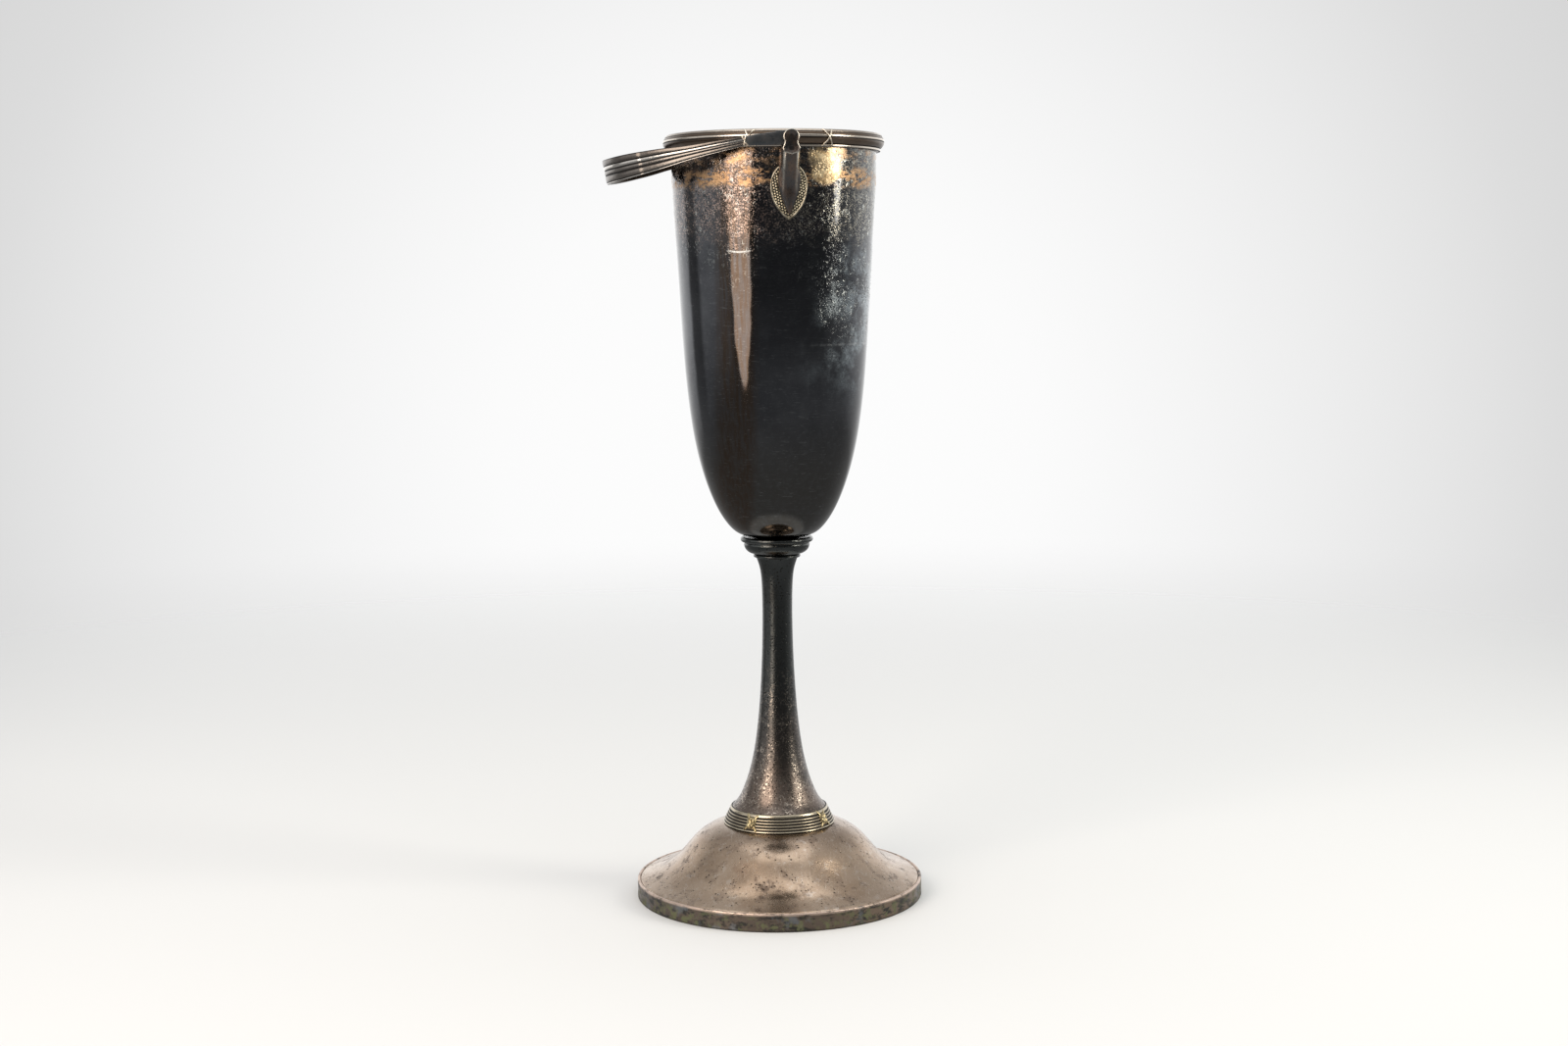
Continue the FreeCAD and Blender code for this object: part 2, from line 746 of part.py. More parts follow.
def make_strap(doc, d):
    """The arched strap: narrow at the end pieces, hollow-sided, then swelling to the apex for the hand."""
    start = SIZES["bail_end_length"]
    height = (d.bail_lift + d.bail_apex_half) * 2
    body = padded(doc, "strap_arch", "XY_Plane", bail_arch(start), height, symmetric=True)
    far = -(d.bail_reach + d.bail_strap)
    taper = padded(doc, "strap_taper", "XZ_Plane", [
        (far, d.bail_lift - d.bail_apex_half),
        (-d.bail_swell, d.bail_lift - d.bail_swell_half, 500),
        (-d.bail_end_length, d.bail_lift - d.bail_joint_half, -1650),
        (-d.bail_end_length, d.bail_lift + d.bail_joint_half),
        (-d.bail_swell, d.bail_lift + d.bail_swell_half, -1650),
        (far, d.bail_lift + d.bail_apex_half, 500),
    ], d.bail_half * 3, symmetric=True)
    return combined(doc, "Common", "bail_strap", body, taper)


def eye_tangent(height, side):
    """Where a straight edge from the strap's joint touches the eye: side is 1 above and -1 below."""
    length = SIZES["bail_end_length"]
    radius = SIZES["bail_eye_radius"]
    angle = math.atan2(height, -length) - side * math.acos(radius / math.hypot(length, height))
    return radius * math.cos(angle), radius * math.sin(angle)


def make_end(doc, d):
    """A plain end piece: straight edges from the strap to the round eye on the pin."""
    length = SIZES["bail_end_length"]
    plan = padded(doc, "end_plan", "XY_Plane", end_strip(-8.0, length, 0), d.bail_apex_half * 2, symmetric=True)
    low = d.bail_lift - d.bail_joint_half
    high = d.bail_lift + d.bail_joint_half
    side = padded(doc, "end_side", "XZ_Plane", [
        (-d.bail_end_length, low),
        eye_tangent(low.number, -1),
        (d.bail_eye_radius, 0, d.bail_eye_radius),
        (*eye_tangent(high.number, 1), d.bail_eye_radius),
        (-d.bail_end_length, high),
    ], d.bail_half * 1.1)
    blank = combined(doc, "Common", "end_blank", plan, side)
    hole = doc.addObject("Part::Cylinder", "end_eye")
    hole.setExpression("Radius", (d.pin_radius + d.pin_play).text)
    hole.setExpression("Height", (d.bail_half * 1.1).text)
    hole.Placement = FreeCAD.Placement(FreeCAD.Vector(), FreeCAD.Rotation(FreeCAD.Vector(1, 0, 0), 90))
    return combined(doc, "Cut", "bail_end_front", blank, hole)


def make_bail_tie(doc, d):
    """The ribbon wound over the joint between the end piece and the strap: a sleeve with a slack above and below."""
    length = SIZES["bail_end_length"]
    reach = SIZES["bail_wrap_reach"]
    slack = 0.5
    inner_half = d.bail_joint_half + slack
    outer_half = inner_half + d.bail_wrap
    outer = padded(doc, "wrap_outside", "XY_Plane", end_strip(length - reach, length + reach, SIZES["bail_wrap"]),
                   outer_half * 2, start=d.bail_lift - outer_half)
    inner = padded(doc, "wrap_inside", "XY_Plane", end_strip(length - 2 * reach, length + 2 * reach, 0),
                   inner_half * 2, start=d.bail_lift - inner_half)
    return combined(doc, "Cut", "bail_tie_front", outer, inner)


# Assembly -----------------------------------------------------------------------------------------

def build(doc):
    d = Sheet(doc, SIZES)
    doc.recompute()
    bowl_solid = spun(doc, "bowl_envelope", bowl_side(d) + [(0, d.bowl_edge)])
    bowl = make_bowl(doc, d)
    rim = make_rim(doc, d)
    doc.recompute()
    rim_ties = make_rim_ties(doc, d, rim)
    boss = make_boss(doc, d)
    collar = make_collar(doc, d)
    lower_ring = make_lower_ring(doc, d)
    stem = make_stem(doc, d)
    foot_ring = make_foot_ring(doc, d)
    doc.recompute()
    foot_ties = make_foot_ties(doc, d, foot_ring)
    dome = make_dome(doc, d)
    band = make_edge_band(doc, d)
    plate, washer, nut, rod = make_clamp(doc, d)
    leaf = make_escutcheon(doc, d, bowl_solid)
    arm = make_arm(doc, d, bowl_solid, leaf)
    pin = pin_shape(doc, d, "front_pivot_pin", d.pin_radius, 112.1)
    hinge_washer = make_washer(doc, d)
    strap = make_strap(doc, d)
    end = make_end(doc, d)
    tie = make_bail_tie(doc, d)
    doc.recompute()
    for piece in (strap, end, tie):
        piece.Placement = bail_placement(d)

    parts = [bowl, rim, rim_ties, boss, collar, lower_ring, stem, foot_ring, foot_ties, dome, band]
    parts += [plate, washer, nut, rod, strap]
    for front in (leaf, arm, pin, hinge_washer, end, tie):
        rear = mirrored(doc, front.Label.replace("front", "rear"), front)
        parts += [front, rear]
    return parts


def check(doc, parts):
    """Stops the build at the first failed object or bad shape, and prints each sub-part's volume."""
    for item in doc.Objects:
        if "Invalid" in item.State or "Error" in item.State:
            raise RuntimeError(f"{item.Label}: {item.State}")
    for part in parts:
        shape = part.Shape
        if shape.isNull() or not shape.isValid() or not shape.Solids:
            raise RuntimeError(f"{part.Label}: bad shape")
        box = shape.BoundBox
        print(f"{part.Label:18s} {shape.Volume / 1000:9.2f} cm3  {len(shape.Solids)} solid(s)  "
              f"{box.XLength:6.1f} x {box.YLength:6.1f} x {box.ZLength:6.1f}  z {box.ZMin:6.1f}")


def main():
    os.makedirs("parts", exist_ok=True)
    doc = FreeCAD.newDocument("cooler_cup")
    parts = build(doc)
    doc.recompute()
    check(doc, parts)
    for part in parts:
        part.Shape.exportStep(f"parts/{part.Label}.step")


main()
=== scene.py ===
# %% [markdown]
# # A stemmed cooler cup in tarnished silver plate
#
# This notebook dresses a finished mechanical model of a tall cup with a bail handle. The model arrives as a
# fixed frame of named parts, in metres, standing on z = 0 with its axis on Z. Nothing here changes its
# size. The first cell loads the frame.

# %% Load the frame
import bpy
import json
import math
import numpy as np
from mathutils import Matrix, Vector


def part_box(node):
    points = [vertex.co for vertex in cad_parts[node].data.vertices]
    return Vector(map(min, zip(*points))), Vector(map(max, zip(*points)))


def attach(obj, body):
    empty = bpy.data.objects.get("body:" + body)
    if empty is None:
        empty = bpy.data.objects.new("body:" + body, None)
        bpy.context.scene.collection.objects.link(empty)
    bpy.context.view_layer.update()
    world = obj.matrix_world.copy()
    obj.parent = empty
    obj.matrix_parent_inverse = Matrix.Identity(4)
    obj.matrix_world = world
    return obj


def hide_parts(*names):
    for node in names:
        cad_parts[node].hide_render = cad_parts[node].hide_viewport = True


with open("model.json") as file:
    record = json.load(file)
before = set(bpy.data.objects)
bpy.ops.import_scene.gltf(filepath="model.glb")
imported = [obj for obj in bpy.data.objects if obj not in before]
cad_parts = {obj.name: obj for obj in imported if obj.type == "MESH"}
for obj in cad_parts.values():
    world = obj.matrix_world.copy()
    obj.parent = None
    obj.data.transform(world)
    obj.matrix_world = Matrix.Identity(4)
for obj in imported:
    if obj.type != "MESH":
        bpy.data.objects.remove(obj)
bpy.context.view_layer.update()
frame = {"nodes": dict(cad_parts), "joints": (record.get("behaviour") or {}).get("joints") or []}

MM = 0.001
hinge = np.array(frame["joints"][0]["pos_m"])


# %% [markdown]
# ## Tools: a sheet of points becomes a piece
#
# Every visible piece of this cup is a surface that can be written as a formula: a section turned about the
# axis, or a section carried along a line. Such a surface is a grid of points, so numpy works out all the
# points at once, and one helper joins them with four-sided faces. Blender's own Screw or Curve tools would
# also do it, but a formula keeps every size in one readable place.

# %% Grid to mesh
def grid_faces(rows, columns, wrap_rows, wrap_columns, first=0):
    """Quads between neighbours of a rows x columns grid of point numbers; a wrapped side joins last to
    first."""
    row = np.arange(rows if wrap_rows else rows - 1)
    column = np.arange(columns if wrap_columns else columns - 1)
    i, j = np.meshgrid(row, column, indexing="ij")
    i_next, j_next = (i + 1) % rows, (j + 1) % columns
    corners = [i * columns + j, i * columns + j_next, i_next * columns + j_next, i_next * columns + j]
    return np.stack(corners, axis=-1).reshape(-1, 4) + first


def outward(points, faces):
    """The same faces, turned round if the volume they enclose comes out negative.

    The volume is a sixth of the sum of each face's first corner dotted with its two edge vectors' cross
    product."""
    total = 0.0
    for face in faces:
        face = np.asarray(face)
        a, b, c = points[face[:, 0]], points[face[:, 1]], points[face[:, 2]]
        total += np.einsum("ij,ij->", a, np.cross(b, c))
        if face.shape[1] == 4:
            total += np.einsum("ij,ij->", a, np.cross(c, points[face[:, 3]]))
    return faces if total > 0 else [np.asarray(f)[:, ::-1] for f in faces]


dressed = []


def make_piece(name, points, faces, body, stands_for, slot, values=None, crease=38):
    """Puts points (metres) and face arrays into a smooth-shaded mesh that rides on a body of the frame."""
    faces = outward(points, faces)
    mesh = bpy.data.meshes.new(name)
    mesh.from_pydata(points.tolist(), [], [f for group in faces for f in group.tolist()])
    mesh.polygons.foreach_set("use_smooth", np.ones(len(mesh.polygons), dtype=bool))
    mesh.set_sharp_from_angle(angle=math.radians(crease))
    for key, numbers in (values or {}).items():
        attribute = mesh.attributes.new(key, "FLOAT", "POINT")
        attribute.data.foreach_set("value", np.asarray(numbers, dtype=np.float32))
    mesh.update()
    piece = bpy.data.objects.new(name, mesh)
    bpy.context.scene.collection.objects.link(piece)
    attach(piece, body)
    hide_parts(*stands_for)
    dressed.append((piece, slot))
    print(f"{name}: {len(mesh.polygons)} faces")


# %% [markdown]
# ## Tools: lines for the sections
#
# A spun bowl has one flowing line from its foot to its lip. The silversmith checks it against a template,
# and a few stations fix it. A natural cubic spline passes through the stations with the least bending, as a
# thin wooden batten would. Reeds are different: each is its own half-round, and they meet in sharp valleys.

# %% Section lines
def through(stations, count):
    """A natural cubic spline through (x, y) stations, sampled evenly along the straight distances between
    them.

    The second derivatives m solve the usual three-term equations, with m = 0 at both ends."""
    p = np.asarray(stations, dtype=float)
    step = np.linalg.norm(np.diff(p, axis=0), axis=1)
    t = np.concatenate([[0], np.cumsum(step)])
    n = len(p)
    matrix = np.eye(n)
    right = np.zeros_like(p)
    slope = np.diff(p, axis=0) / step[:, None]
    inner = np.arange(1, n - 1)
    matrix[inner, inner - 1] = step[:-1]
    matrix[inner, inner] = 2 * (step[:-1] + step[1:])
    matrix[inner, inner + 1] = step[1:]
    right[1:-1] = 6 * (slope[1:] - slope[:-1])
    m = np.linalg.solve(matrix, right)
    s = np.linspace(0, t[-1], count)
    k = np.clip(np.searchsorted(t, s, side="right") - 1, 0, n - 2)
    width = step[k][:, None]
    a = (t[k + 1] - s)[:, None]
    b = (s - t[k])[:, None]
    curve = (m[k] * a**3 + m[k + 1] * b**3) / (6 * width)
    curve += (p[k] / width - m[k] * width / 6) * a + (p[k + 1] / width - m[k + 1] * width / 6) * b
    return curve


def reed(start, end, swell, count=11):
    """A half-round reed: the straight step from start to end, pushed to its right by swell x sqrt(1 - u^2).

    u runs from -1 to 1 as the sine of an even angle, so the points gather in the valleys."""
    start, end = np.asarray(start, float), np.asarray(end, float)
    u = np.sin(np.linspace(-math.pi / 2, math.pi / 2, count))[:, None]
    along = end - start
    side = np.array([along[1], -along[0]]) / np.linalg.norm(along)
    return start + along * (u + 1) / 2 + side * swell * np.sqrt(np.clip(1 - u**2, 0, 1))


def valley_depth(count):
    """1 in the valley at both ends of a reed and 0 on its crest: |u| to the fourth power, for u as in
    reed()."""
    return np.abs(np.sin(np.linspace(-math.pi / 2, math.pi / 2, count))) ** 4


def sheet_wall(outer, wall):
    """A line and its copy moved inwards by the wall, as one loop from the outer start to the inner start.

    The move is along the left normal, which is the tangent turned a quarter turn."""
    tangent = np.gradient(outer, axis=0)
    tangent /= np.linalg.norm(tangent, axis=1)[:, None]
    inner = outer + wall * np.stack([-tangent[:, 1], tangent[:, 0]], axis=1)
    if outer[0, 0] == 0:
        inner[0, 0] = 0
    return np.concatenate([outer, inner[::-1]])


# %% [markdown]
# ## Tools: turning a section about the axis
#
# Bowl, stem, foot and their rings were all spun or turned on a lathe, and the script does the same: each
# point (r, z) of the section becomes a circle of points (r cos a, r sin a, z). A section that touches the
# axis gets a single point there, so that the surface closes without a pinhole.

# %% Turned pieces
AROUND = 256


def turned(name, section, body, stands_for, slot, values=None, crease=38):
    """Turns a closed section, in millimetres, about Z: point (r, z) goes to (r cos a, r sin a, z)."""
    section = np.asarray(section, float) * MM
    a = np.linspace(0, 2 * math.pi, AROUND, endpoint=False)
    on_axis = section[:, 0] < 1e-9
    ring = section[~on_axis]
    spin = np.stack([np.cos(a), np.sin(a)], axis=1)
    flat = ring[:, None, 0:1] * spin[None]
    points = np.concatenate([flat, np.repeat(ring[:, None, 1:2], AROUND, axis=1)], axis=2).reshape(-1, 3)
    faces = [grid_faces(len(ring), AROUND, not on_axis.any(), True)]
    j = np.arange(AROUND)
    j_next = (j + 1) % AROUND
    for pole, row in zip(section[on_axis], (0, len(ring) - 1)):
        fan = [np.full(AROUND, len(points)), row * AROUND + j, row * AROUND + j_next]
        fan = fan if row else [fan[0], fan[2], fan[1]]
        points = np.concatenate([points, [[0, 0, pole[1]]]])
        faces.append(np.stack(fan, axis=1))
    spread = {}
    for key, numbers in (values or {}).items():
        column = np.repeat(np.asarray(numbers)[~on_axis], AROUND)
        spread[key] = np.concatenate([column, np.zeros(int(on_axis.sum()))])
    make_piece(name, points, faces, body, stands_for, slot, spread, crease)


# %% [markdown]
# ## The bowl
#
# The bowl was raised from one sheet of brass about 1.5 mm thick and silver plated. Its line starts flat on
# the collar, swings out in a tight curve, and then climbs almost straight, opening by a few degrees. The
# heights are measured from the seat, which the frame gives.

# %% Bowl
bowl_low, bowl_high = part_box("bowl_shell")
seat = bowl_low[2] / MM
edge = bowl_high[2] / MM
bowl_radius = bowl_high[0] / MM
BOWL_WALL = 1.5

bowl_line = [
    (0, seat), (22, seat + 0.2), (39.2, seat + 4.2), (51.6, seat + 16), (67.4, seat + 46),
    (78.6, seat + 82), (87.2, seat + 130.5), (93.0, seat + 191), (98.2, seat + 280),
    (101.8, seat + 342), (bowl_radius, seat + 374), (bowl_radius, edge),
]
bowl_outer = through(bowl_line, 150)
bowl_section = sheet_wall(bowl_outer, BOWL_WALL)
turned("bowl", bowl_section, "cup", ["bowl_shell"], "tarnished_bowl",
       {"inside": np.repeat([0.0, 1.0], len(bowl_outer))})


def bowl_radius_at(z):
    """The bowl's outer radius in millimetres at the height z, read off its line."""
    return np.interp(z, bowl_outer[5:, 1], bowl_outer[5:, 0])


# %% [markdown]
# ## The rim moulding
#
# A moulding of reeds was drawn as a strip, bent round and soldered to the edge. From the bottom: a light
# lip under a dark gap, one broad brown reed, a thin bead that catches the light, a dark flat reed and a
# pale one that steps back to the top. Two values travel with the section: `groove` is 1 in the valleys and
# 0 on the crests, and `shine` gives each reed its painted highlight, from dark to bright. The finish uses
# them to paint shade, mixed with dirt, in the valleys and a painted highlight on the bead.

# %% Rim moulding
rim_low, rim_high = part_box("rim_moulding")
rim_bottom = rim_low[2] / MM
rim_top = rim_high[2] / MM
rim_radius = rim_high[0] / MM

# each step: x, y, swell, and the painted highlight of the reed that leaves it, brightest on the lip and the bead
RIM_STEPS = [(-4.7, 0.0, 0.30, 0.85), (-4.5, 2.3, 0, 0), (-4.9, 3.0, 1.35, 0.10), (-1.0, 9.3, 0.80, 1.0),
             (-1.2, 11.9, 0.35, 0.0), (-2.6, 14.2, 0.70, 0.6), (-5.2, 17.0, 0, 0)]


def reeded(steps, origin=(0, 0), count=11):
    """Joins reeds from step to step: each step is (x, y, swell, shine) from an origin, for the reed that
    leaves it.

    A swell of 0 is a plain dark gap. Returns the line, its groove values and its shine values."""
    line, groove, shine = [], [], []
    for (x0, y0, swell, sheen_and_wear), (x1, y1, _, _) in zip(steps[:-1], steps[1:]):
        first = 1 if line else 0
        line.append(reed((x0, y0), (x1, y1), swell, count)[first:])
        groove.append((valley_depth(count) if swell else np.ones(count))[first:])
        shine.append(np.full(count, sheen_and_wear)[first:])
    return np.concatenate(line) + np.asarray(origin), np.concatenate(groove), np.concatenate(shine)


rim_face, rim_groove, rim_shine = reeded(RIM_STEPS, (rim_radius, rim_bottom))
rim_inside = bowl_radius - BOWL_WALL
TOUCH, LAP, BACK_SHINE = 0.02, 0.2, 0.3
rim_back = np.array([(rim_inside, rim_top), (rim_inside, edge + TOUCH), (bowl_radius - LAP, edge + TOUCH),
                     (bowl_radius - LAP, rim_bottom)])
rim_section = np.concatenate([rim_face, rim_back])
turned("reeded_rim", rim_section, "cup", ["rim_moulding"], "aged_silver",
       {"groove": np.append(rim_groove, np.zeros(len(rim_back))),
        "shine": np.append(rim_shine, np.full(len(rim_back), BACK_SHINE))}, crease=50)


# %% [markdown]
# ## Crossed ribbons
#
# Ribbons seem to bind the reeds, the old "reed and tie" pattern: one crossed pair on each side of each lug.
# Each ribbon climbs the moulding while it drifts sideways, and two that drift opposite ways make a cross. A
# ribbon is a small rounded bar carried along that line, a little above the reeds, so it bridges their
# valleys as soldered wire does.

# %% Crossed ribbons
def bar_section(half_width, half_height, count=14, power=2.6):
    """A rounded bar: the superellipse with half_width and half_height, as points (across, out)."""
    a = np.linspace(0, 2 * math.pi, count, endpoint=False)
    c, s = np.cos(a), np.sin(a)
    return np.stack([half_width * np.sign(c) * np.abs(c) ** (2 / power),
                     half_height * np.sign(s) * np.abs(s) ** (2 / power)], axis=1)


def carried(centres, across, out, section):
    """A section carried along a line: centre + across x section[0] + out x section[1], with flat ends.

    `section` is (points, 2) or (stations, points, 2). Returns the points and the face arrays."""
    section = np.broadcast_to(section, (len(centres), *np.shape(section)[-2:]))
    points = centres[:, None] + across[:, None] * section[..., 0:1] + out[:, None] * section[..., 1:2]
    rows, columns = points.shape[:2]
    ring = np.arange(columns)
    faces = [grid_faces(rows, columns, False, True), ring[None, ::-1], ring[None] + (rows - 1) * columns]
    return points.reshape(-1, 3), faces


def turn_about_z(points, angle):
    """Points turned about the Z axis by an angle in radians."""
    c, s = math.cos(angle), math.sin(angle)
    x, y = points[:, 0] * c - points[:, 1] * s, points[:, 0] * s + points[:, 1] * c
    return np.stack([x, y, points[:, 2]], axis=1)


def merged(parts):
    """Several (points, faces) pieces as one, with the later face numbers moved up."""
    points, faces, first = [], [], 0
    for part_points, part_faces in parts:
        part_faces = outward(part_points, part_faces)
        points.append(part_points)
        faces += [f + first for f in part_faces]
        first += len(part_points)
    return np.concatenate(points), faces


def ribbon_over(line, drift, lift, width, height):
    """A ribbon over a turned surface on the -Y side.

    It follows the line (r, z) while its angle goes from -drift to +drift; it lies `lift` out along the line's
    normal, and its two ends dip by one ribbon height so that they close on the metal."""
    share = np.linspace(-1, 1, len(line))
    angle = -math.pi / 2 + drift * share
    tangent = np.gradient(line, axis=0)
    tangent /= np.linalg.norm(tangent, axis=1)[:, None]
    normal = np.stack([tangent[:, 1], -tangent[:, 0]], axis=1)
    rise = lift - height * np.abs(share) ** 8
    r, z = line[:, 0] + normal[:, 0] * rise, line[:, 1] + normal[:, 1] * rise
    centres = np.stack([r * np.cos(angle), r * np.sin(angle), z], axis=1)
    out = np.stack([normal[:, 0] * np.cos(angle), normal[:, 0] * np.sin(angle), normal[:, 1]], axis=1)
    along = np.gradient(centres, axis=0)
    across = np.cross(along, out)
    across /= np.linalg.norm(across, axis=1)[:, None]
    points, faces = carried(centres, across, out, bar_section(width / 2, height / 2))
    return points * MM, faces


RIM_TIE_TURN = math.radians(20.6)
RIBBON_WIDTH, RIBBON_HEIGHT = 1.5, 0.9
OVER_RIM = [(-4.5, 0.3), (-2.6, 3.2), (-0.5, 6.2), (0.0, 9.0), (-0.9, 12.3), (-3.2, 15.7), (-5.4, 16.9)]
rim_envelope = through([(x + rim_radius, y + rim_bottom) for x, y in OVER_RIM], 40)
RIM_DRIFT = 6.2
rim_drift = RIM_DRIFT / rim_radius
rim_cross = merged([ribbon_over(rim_envelope, rim_drift, 0.25, RIBBON_WIDTH, RIBBON_HEIGHT),
                    ribbon_over(rim_envelope, -rim_drift, 0.55, RIBBON_WIDTH, RIBBON_HEIGHT)])
tie_turns = [lug + side * RIM_TIE_TURN for lug in (0, math.pi) for side in (-1, 1)]
ties = merged([(turn_about_z(rim_cross[0], turn), rim_cross[1]) for turn in tie_turns])
make_piece("rim_ribbons", ties[0], ties[1], "cup", ["rim_ribbon_ties"], "ribbon_bright")


# %% [markdown]
# ## Collar and stem
#
# Under the bowl sits a small cast knop: a bead, a fine step and a quarter round, and below it a thin ring.
# The stem is a tube raised into a slender trumpet. Each is turned from its section.

# %% Collar and stem
collar_low, collar_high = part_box("knop_collar")
collar_bottom = collar_low[2] / MM
bead_radius = collar_high[0] / MM
bore = 5.0
QUARTER_FOOT, QUARTER_ROUND = 23.4, 10.2
STEP_RADIUS, BEAD = 32.2, 2.75
SPIGOT_RADIUS, SPIGOT_DEPTH = 14.2, 8.2
THIN_ROUND = 1.6


def arc(centre, radius, begin, end, count=12):
    """Points on a circle about the centre, between two angles in degrees."""
    a = np.radians(np.linspace(begin, end, count))
    return np.stack([centre[0] + radius * np.cos(a), centre[1] + radius * np.sin(a)], axis=1)


collar_section = np.concatenate([
    [(bore, collar_bottom), (QUARTER_FOOT, collar_bottom)],
    arc((QUARTER_FOOT, collar_bottom + QUARTER_ROUND), QUARTER_ROUND, -88, -2, 16),
    [(33.3, collar_bottom + 10.9), (STEP_RADIUS, collar_bottom + 11.1), (STEP_RADIUS, collar_bottom + 11.8)],
    arc((bead_radius - BEAD, collar_bottom + 14.7), BEAD, -100, 118, 20),
    [(27.0, seat - TOUCH), (SPIGOT_RADIUS, seat - TOUCH), (SPIGOT_RADIUS, seat - SPIGOT_DEPTH),
     (bore, seat - SPIGOT_DEPTH)],
])
turned("collar", collar_section, "cup", ["knop_collar"], "stem_bronze")

ring_low, ring_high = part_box("knop_lower_ring")
thin_bottom, thin_top, thin_radius = ring_low[2] / MM, ring_high[2] / MM, ring_high[0] / MM
thin_section = np.concatenate([
    [(bore, thin_bottom), (thin_radius - 3.4, thin_bottom)],
    arc((thin_radius - THIN_ROUND, thin_bottom + THIN_ROUND), THIN_ROUND, -90, 40),
    [(thin_radius - 1.2, thin_top - 0.4), (thin_radius - THIN_ROUND, thin_top), (bore, thin_top)],
])
turned("thin_ring", thin_section, "cup", ["knop_lower_ring"], "stem_bronze")

stem_low, stem_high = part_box("stem_tube")
stem_bottom, stem_top = stem_low[2] / MM, stem_high[2] / MM
STEM_WALL = 1.6
stem_line = [
    (47.8, stem_bottom), (42.9, 97.2), (36.3, 109.5), (28.7, 132.5), (22.1, 168.5), (18.3, 208.0),
    (15.9, 256.0), (15.3, 292.0), (16.0, 324.0), (17.8, 338.5), (21.2, stem_top),
]
turned("stem", sheet_wall(through(stem_line, 120), STEM_WALL), "cup", ["stem_tube"], "stem_bronze")


# %% [markdown]
# ## The reeded ring at the foot
#
# A ring of reeds leans outwards round the joint of stem and foot: a thin bead, four narrow reeds with black
# gaps, and one wide pale reed at the top. Four ribbon knots bind them. Each knot is a little square cushion
# where two ribbons are tied, pressed into four lobes.

# %% Foot ring and its knots
foot_ring_low, foot_ring_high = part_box("foot_reed_ring")
foot_ring_bottom, foot_ring_top = foot_ring_low[2] / MM, foot_ring_high[2] / MM
ring_foot, ring_head = np.array([56.7, foot_ring_bottom]), np.array([48.4, foot_ring_top])
RING_BACK = 44.5
# each reed: start and end as shares of the way up, swell, and the painted highlight on its crest
RING_REEDS = [(0.0, 0.09, 0.55, 0.8), (0.15, 0.25, 0.90, 0.55), (0.31, 0.41, 0.90, 0.50),
              (0.47, 0.57, 0.90, 0.50), (0.63, 0.73, 0.85, 0.55), (0.79, 1.0, 0.95, 0.75)]
ring_steps = []
for low, high, swell, sheen_and_wear in RING_REEDS:
    # each reed begins at `low` and its gap at `high`, as shares of the way up the ring
    ring_steps += [(*(ring_foot + (ring_head - ring_foot) * low), swell, sheen_and_wear),
                   (*(ring_foot + (ring_head - ring_foot) * high), 0, 0)]
ring_face, ring_groove, ring_shine = reeded(ring_steps)
ring_section = np.concatenate([ring_face, [(RING_BACK, foot_ring_top), (RING_BACK, foot_ring_bottom)]])
turned("reeded_foot_ring", ring_section, "cup", ["foot_reed_ring"], "foot_reeds",
       {"groove": np.append(ring_groove, [0, 0]), "shine": np.append(ring_shine, [0, 0])}, crease=50)


def knot(radius, height, lean, half, lift):
    """A square knot on the -Y side, with four lobes, that leans back with the ring.

    It rises by lift x ((1 - |u|^3.2) (1 - |v|^3.2))^0.6 x (0.72 + 0.5 |sin(pi u) sin(pi v)|), where u and v
    run from -1 to 1 across and up. Its corners are drawn in a little, and a back face closes it."""
    u, v = np.meshgrid(np.linspace(-1, 1, 29), np.linspace(-1, 1, 29), indexing="ij")
    round_off = 1 - 0.16 * (u * v) ** 2
    cushion = np.clip((1 - np.abs(u) ** 3.2) * (1 - np.abs(v) ** 3.2), 0, 1) ** 0.6
    rise = lift * cushion * (0.72 + 0.5 * np.abs(np.sin(math.pi * u) * np.sin(math.pi * v)))
    parts = []
    for layer in (rise, np.full_like(rise, -0.8)):
        x = u * half * round_off
        up = v * half * 1.12 * round_off
        out = radius + layer * math.cos(lean) - up * math.sin(lean)
        z = height + up * math.cos(lean) + layer * math.sin(lean)
        parts.append(np.stack([x, -np.sqrt(np.clip(out**2 - x**2, 0, None)), z], axis=-1).reshape(-1, 3))
    n = u.shape[0]
    count = n * n
    front = grid_faces(n, n, False, False)
    back = grid_faces(n, n, False, False, count)[:, ::-1]
    index = np.arange(count).reshape(n, n)
    loop = np.concatenate([index[:-1, 0], index[-1, :-1], index[:0:-1, -1], index[0, :0:-1]])
    after = np.roll(loop, -1)
    wall = np.stack([after, loop, loop + count, after + count], axis=1)
    return np.concatenate(parts) * MM, [front, back, wall]


FOOT_TIES = 4
FOOT_TIE_TURN = math.radians(4.75)
lean = math.atan2(ring_foot[0] - ring_head[0], ring_head[1] - ring_foot[1])
middle = (ring_foot + ring_head) / 2
face_line = through([ring_foot + (-0.2, 0.5), middle + (0.75, 0.3), ring_head + (0.2, -0.2)], 30)
FOOT_DRIFT, FOOT_RIBBON_WIDTH, FOOT_RIBBON_HEIGHT = 8.0, 2.7, 1.2
KNOT_HALF, KNOT_LIFT = 5.2, 1.9
foot_drift = FOOT_DRIFT / ring_foot[0]
foot_tie = merged([ribbon_over(face_line, foot_drift, 0.45, FOOT_RIBBON_WIDTH, FOOT_RIBBON_HEIGHT),
                   ribbon_over(face_line, -foot_drift, 0.75, FOOT_RIBBON_WIDTH, FOOT_RIBBON_HEIGHT),
                   knot(middle[0] + 1.2, middle[1] + 0.2, lean, KNOT_HALF, KNOT_LIFT)])
quarter = 2 * math.pi / FOOT_TIES
knots = merged([(turn_about_z(foot_tie[0], quarter * (k + 0.5) + FOOT_TIE_TURN), foot_tie[1])
                for k in range(FOOT_TIES)])
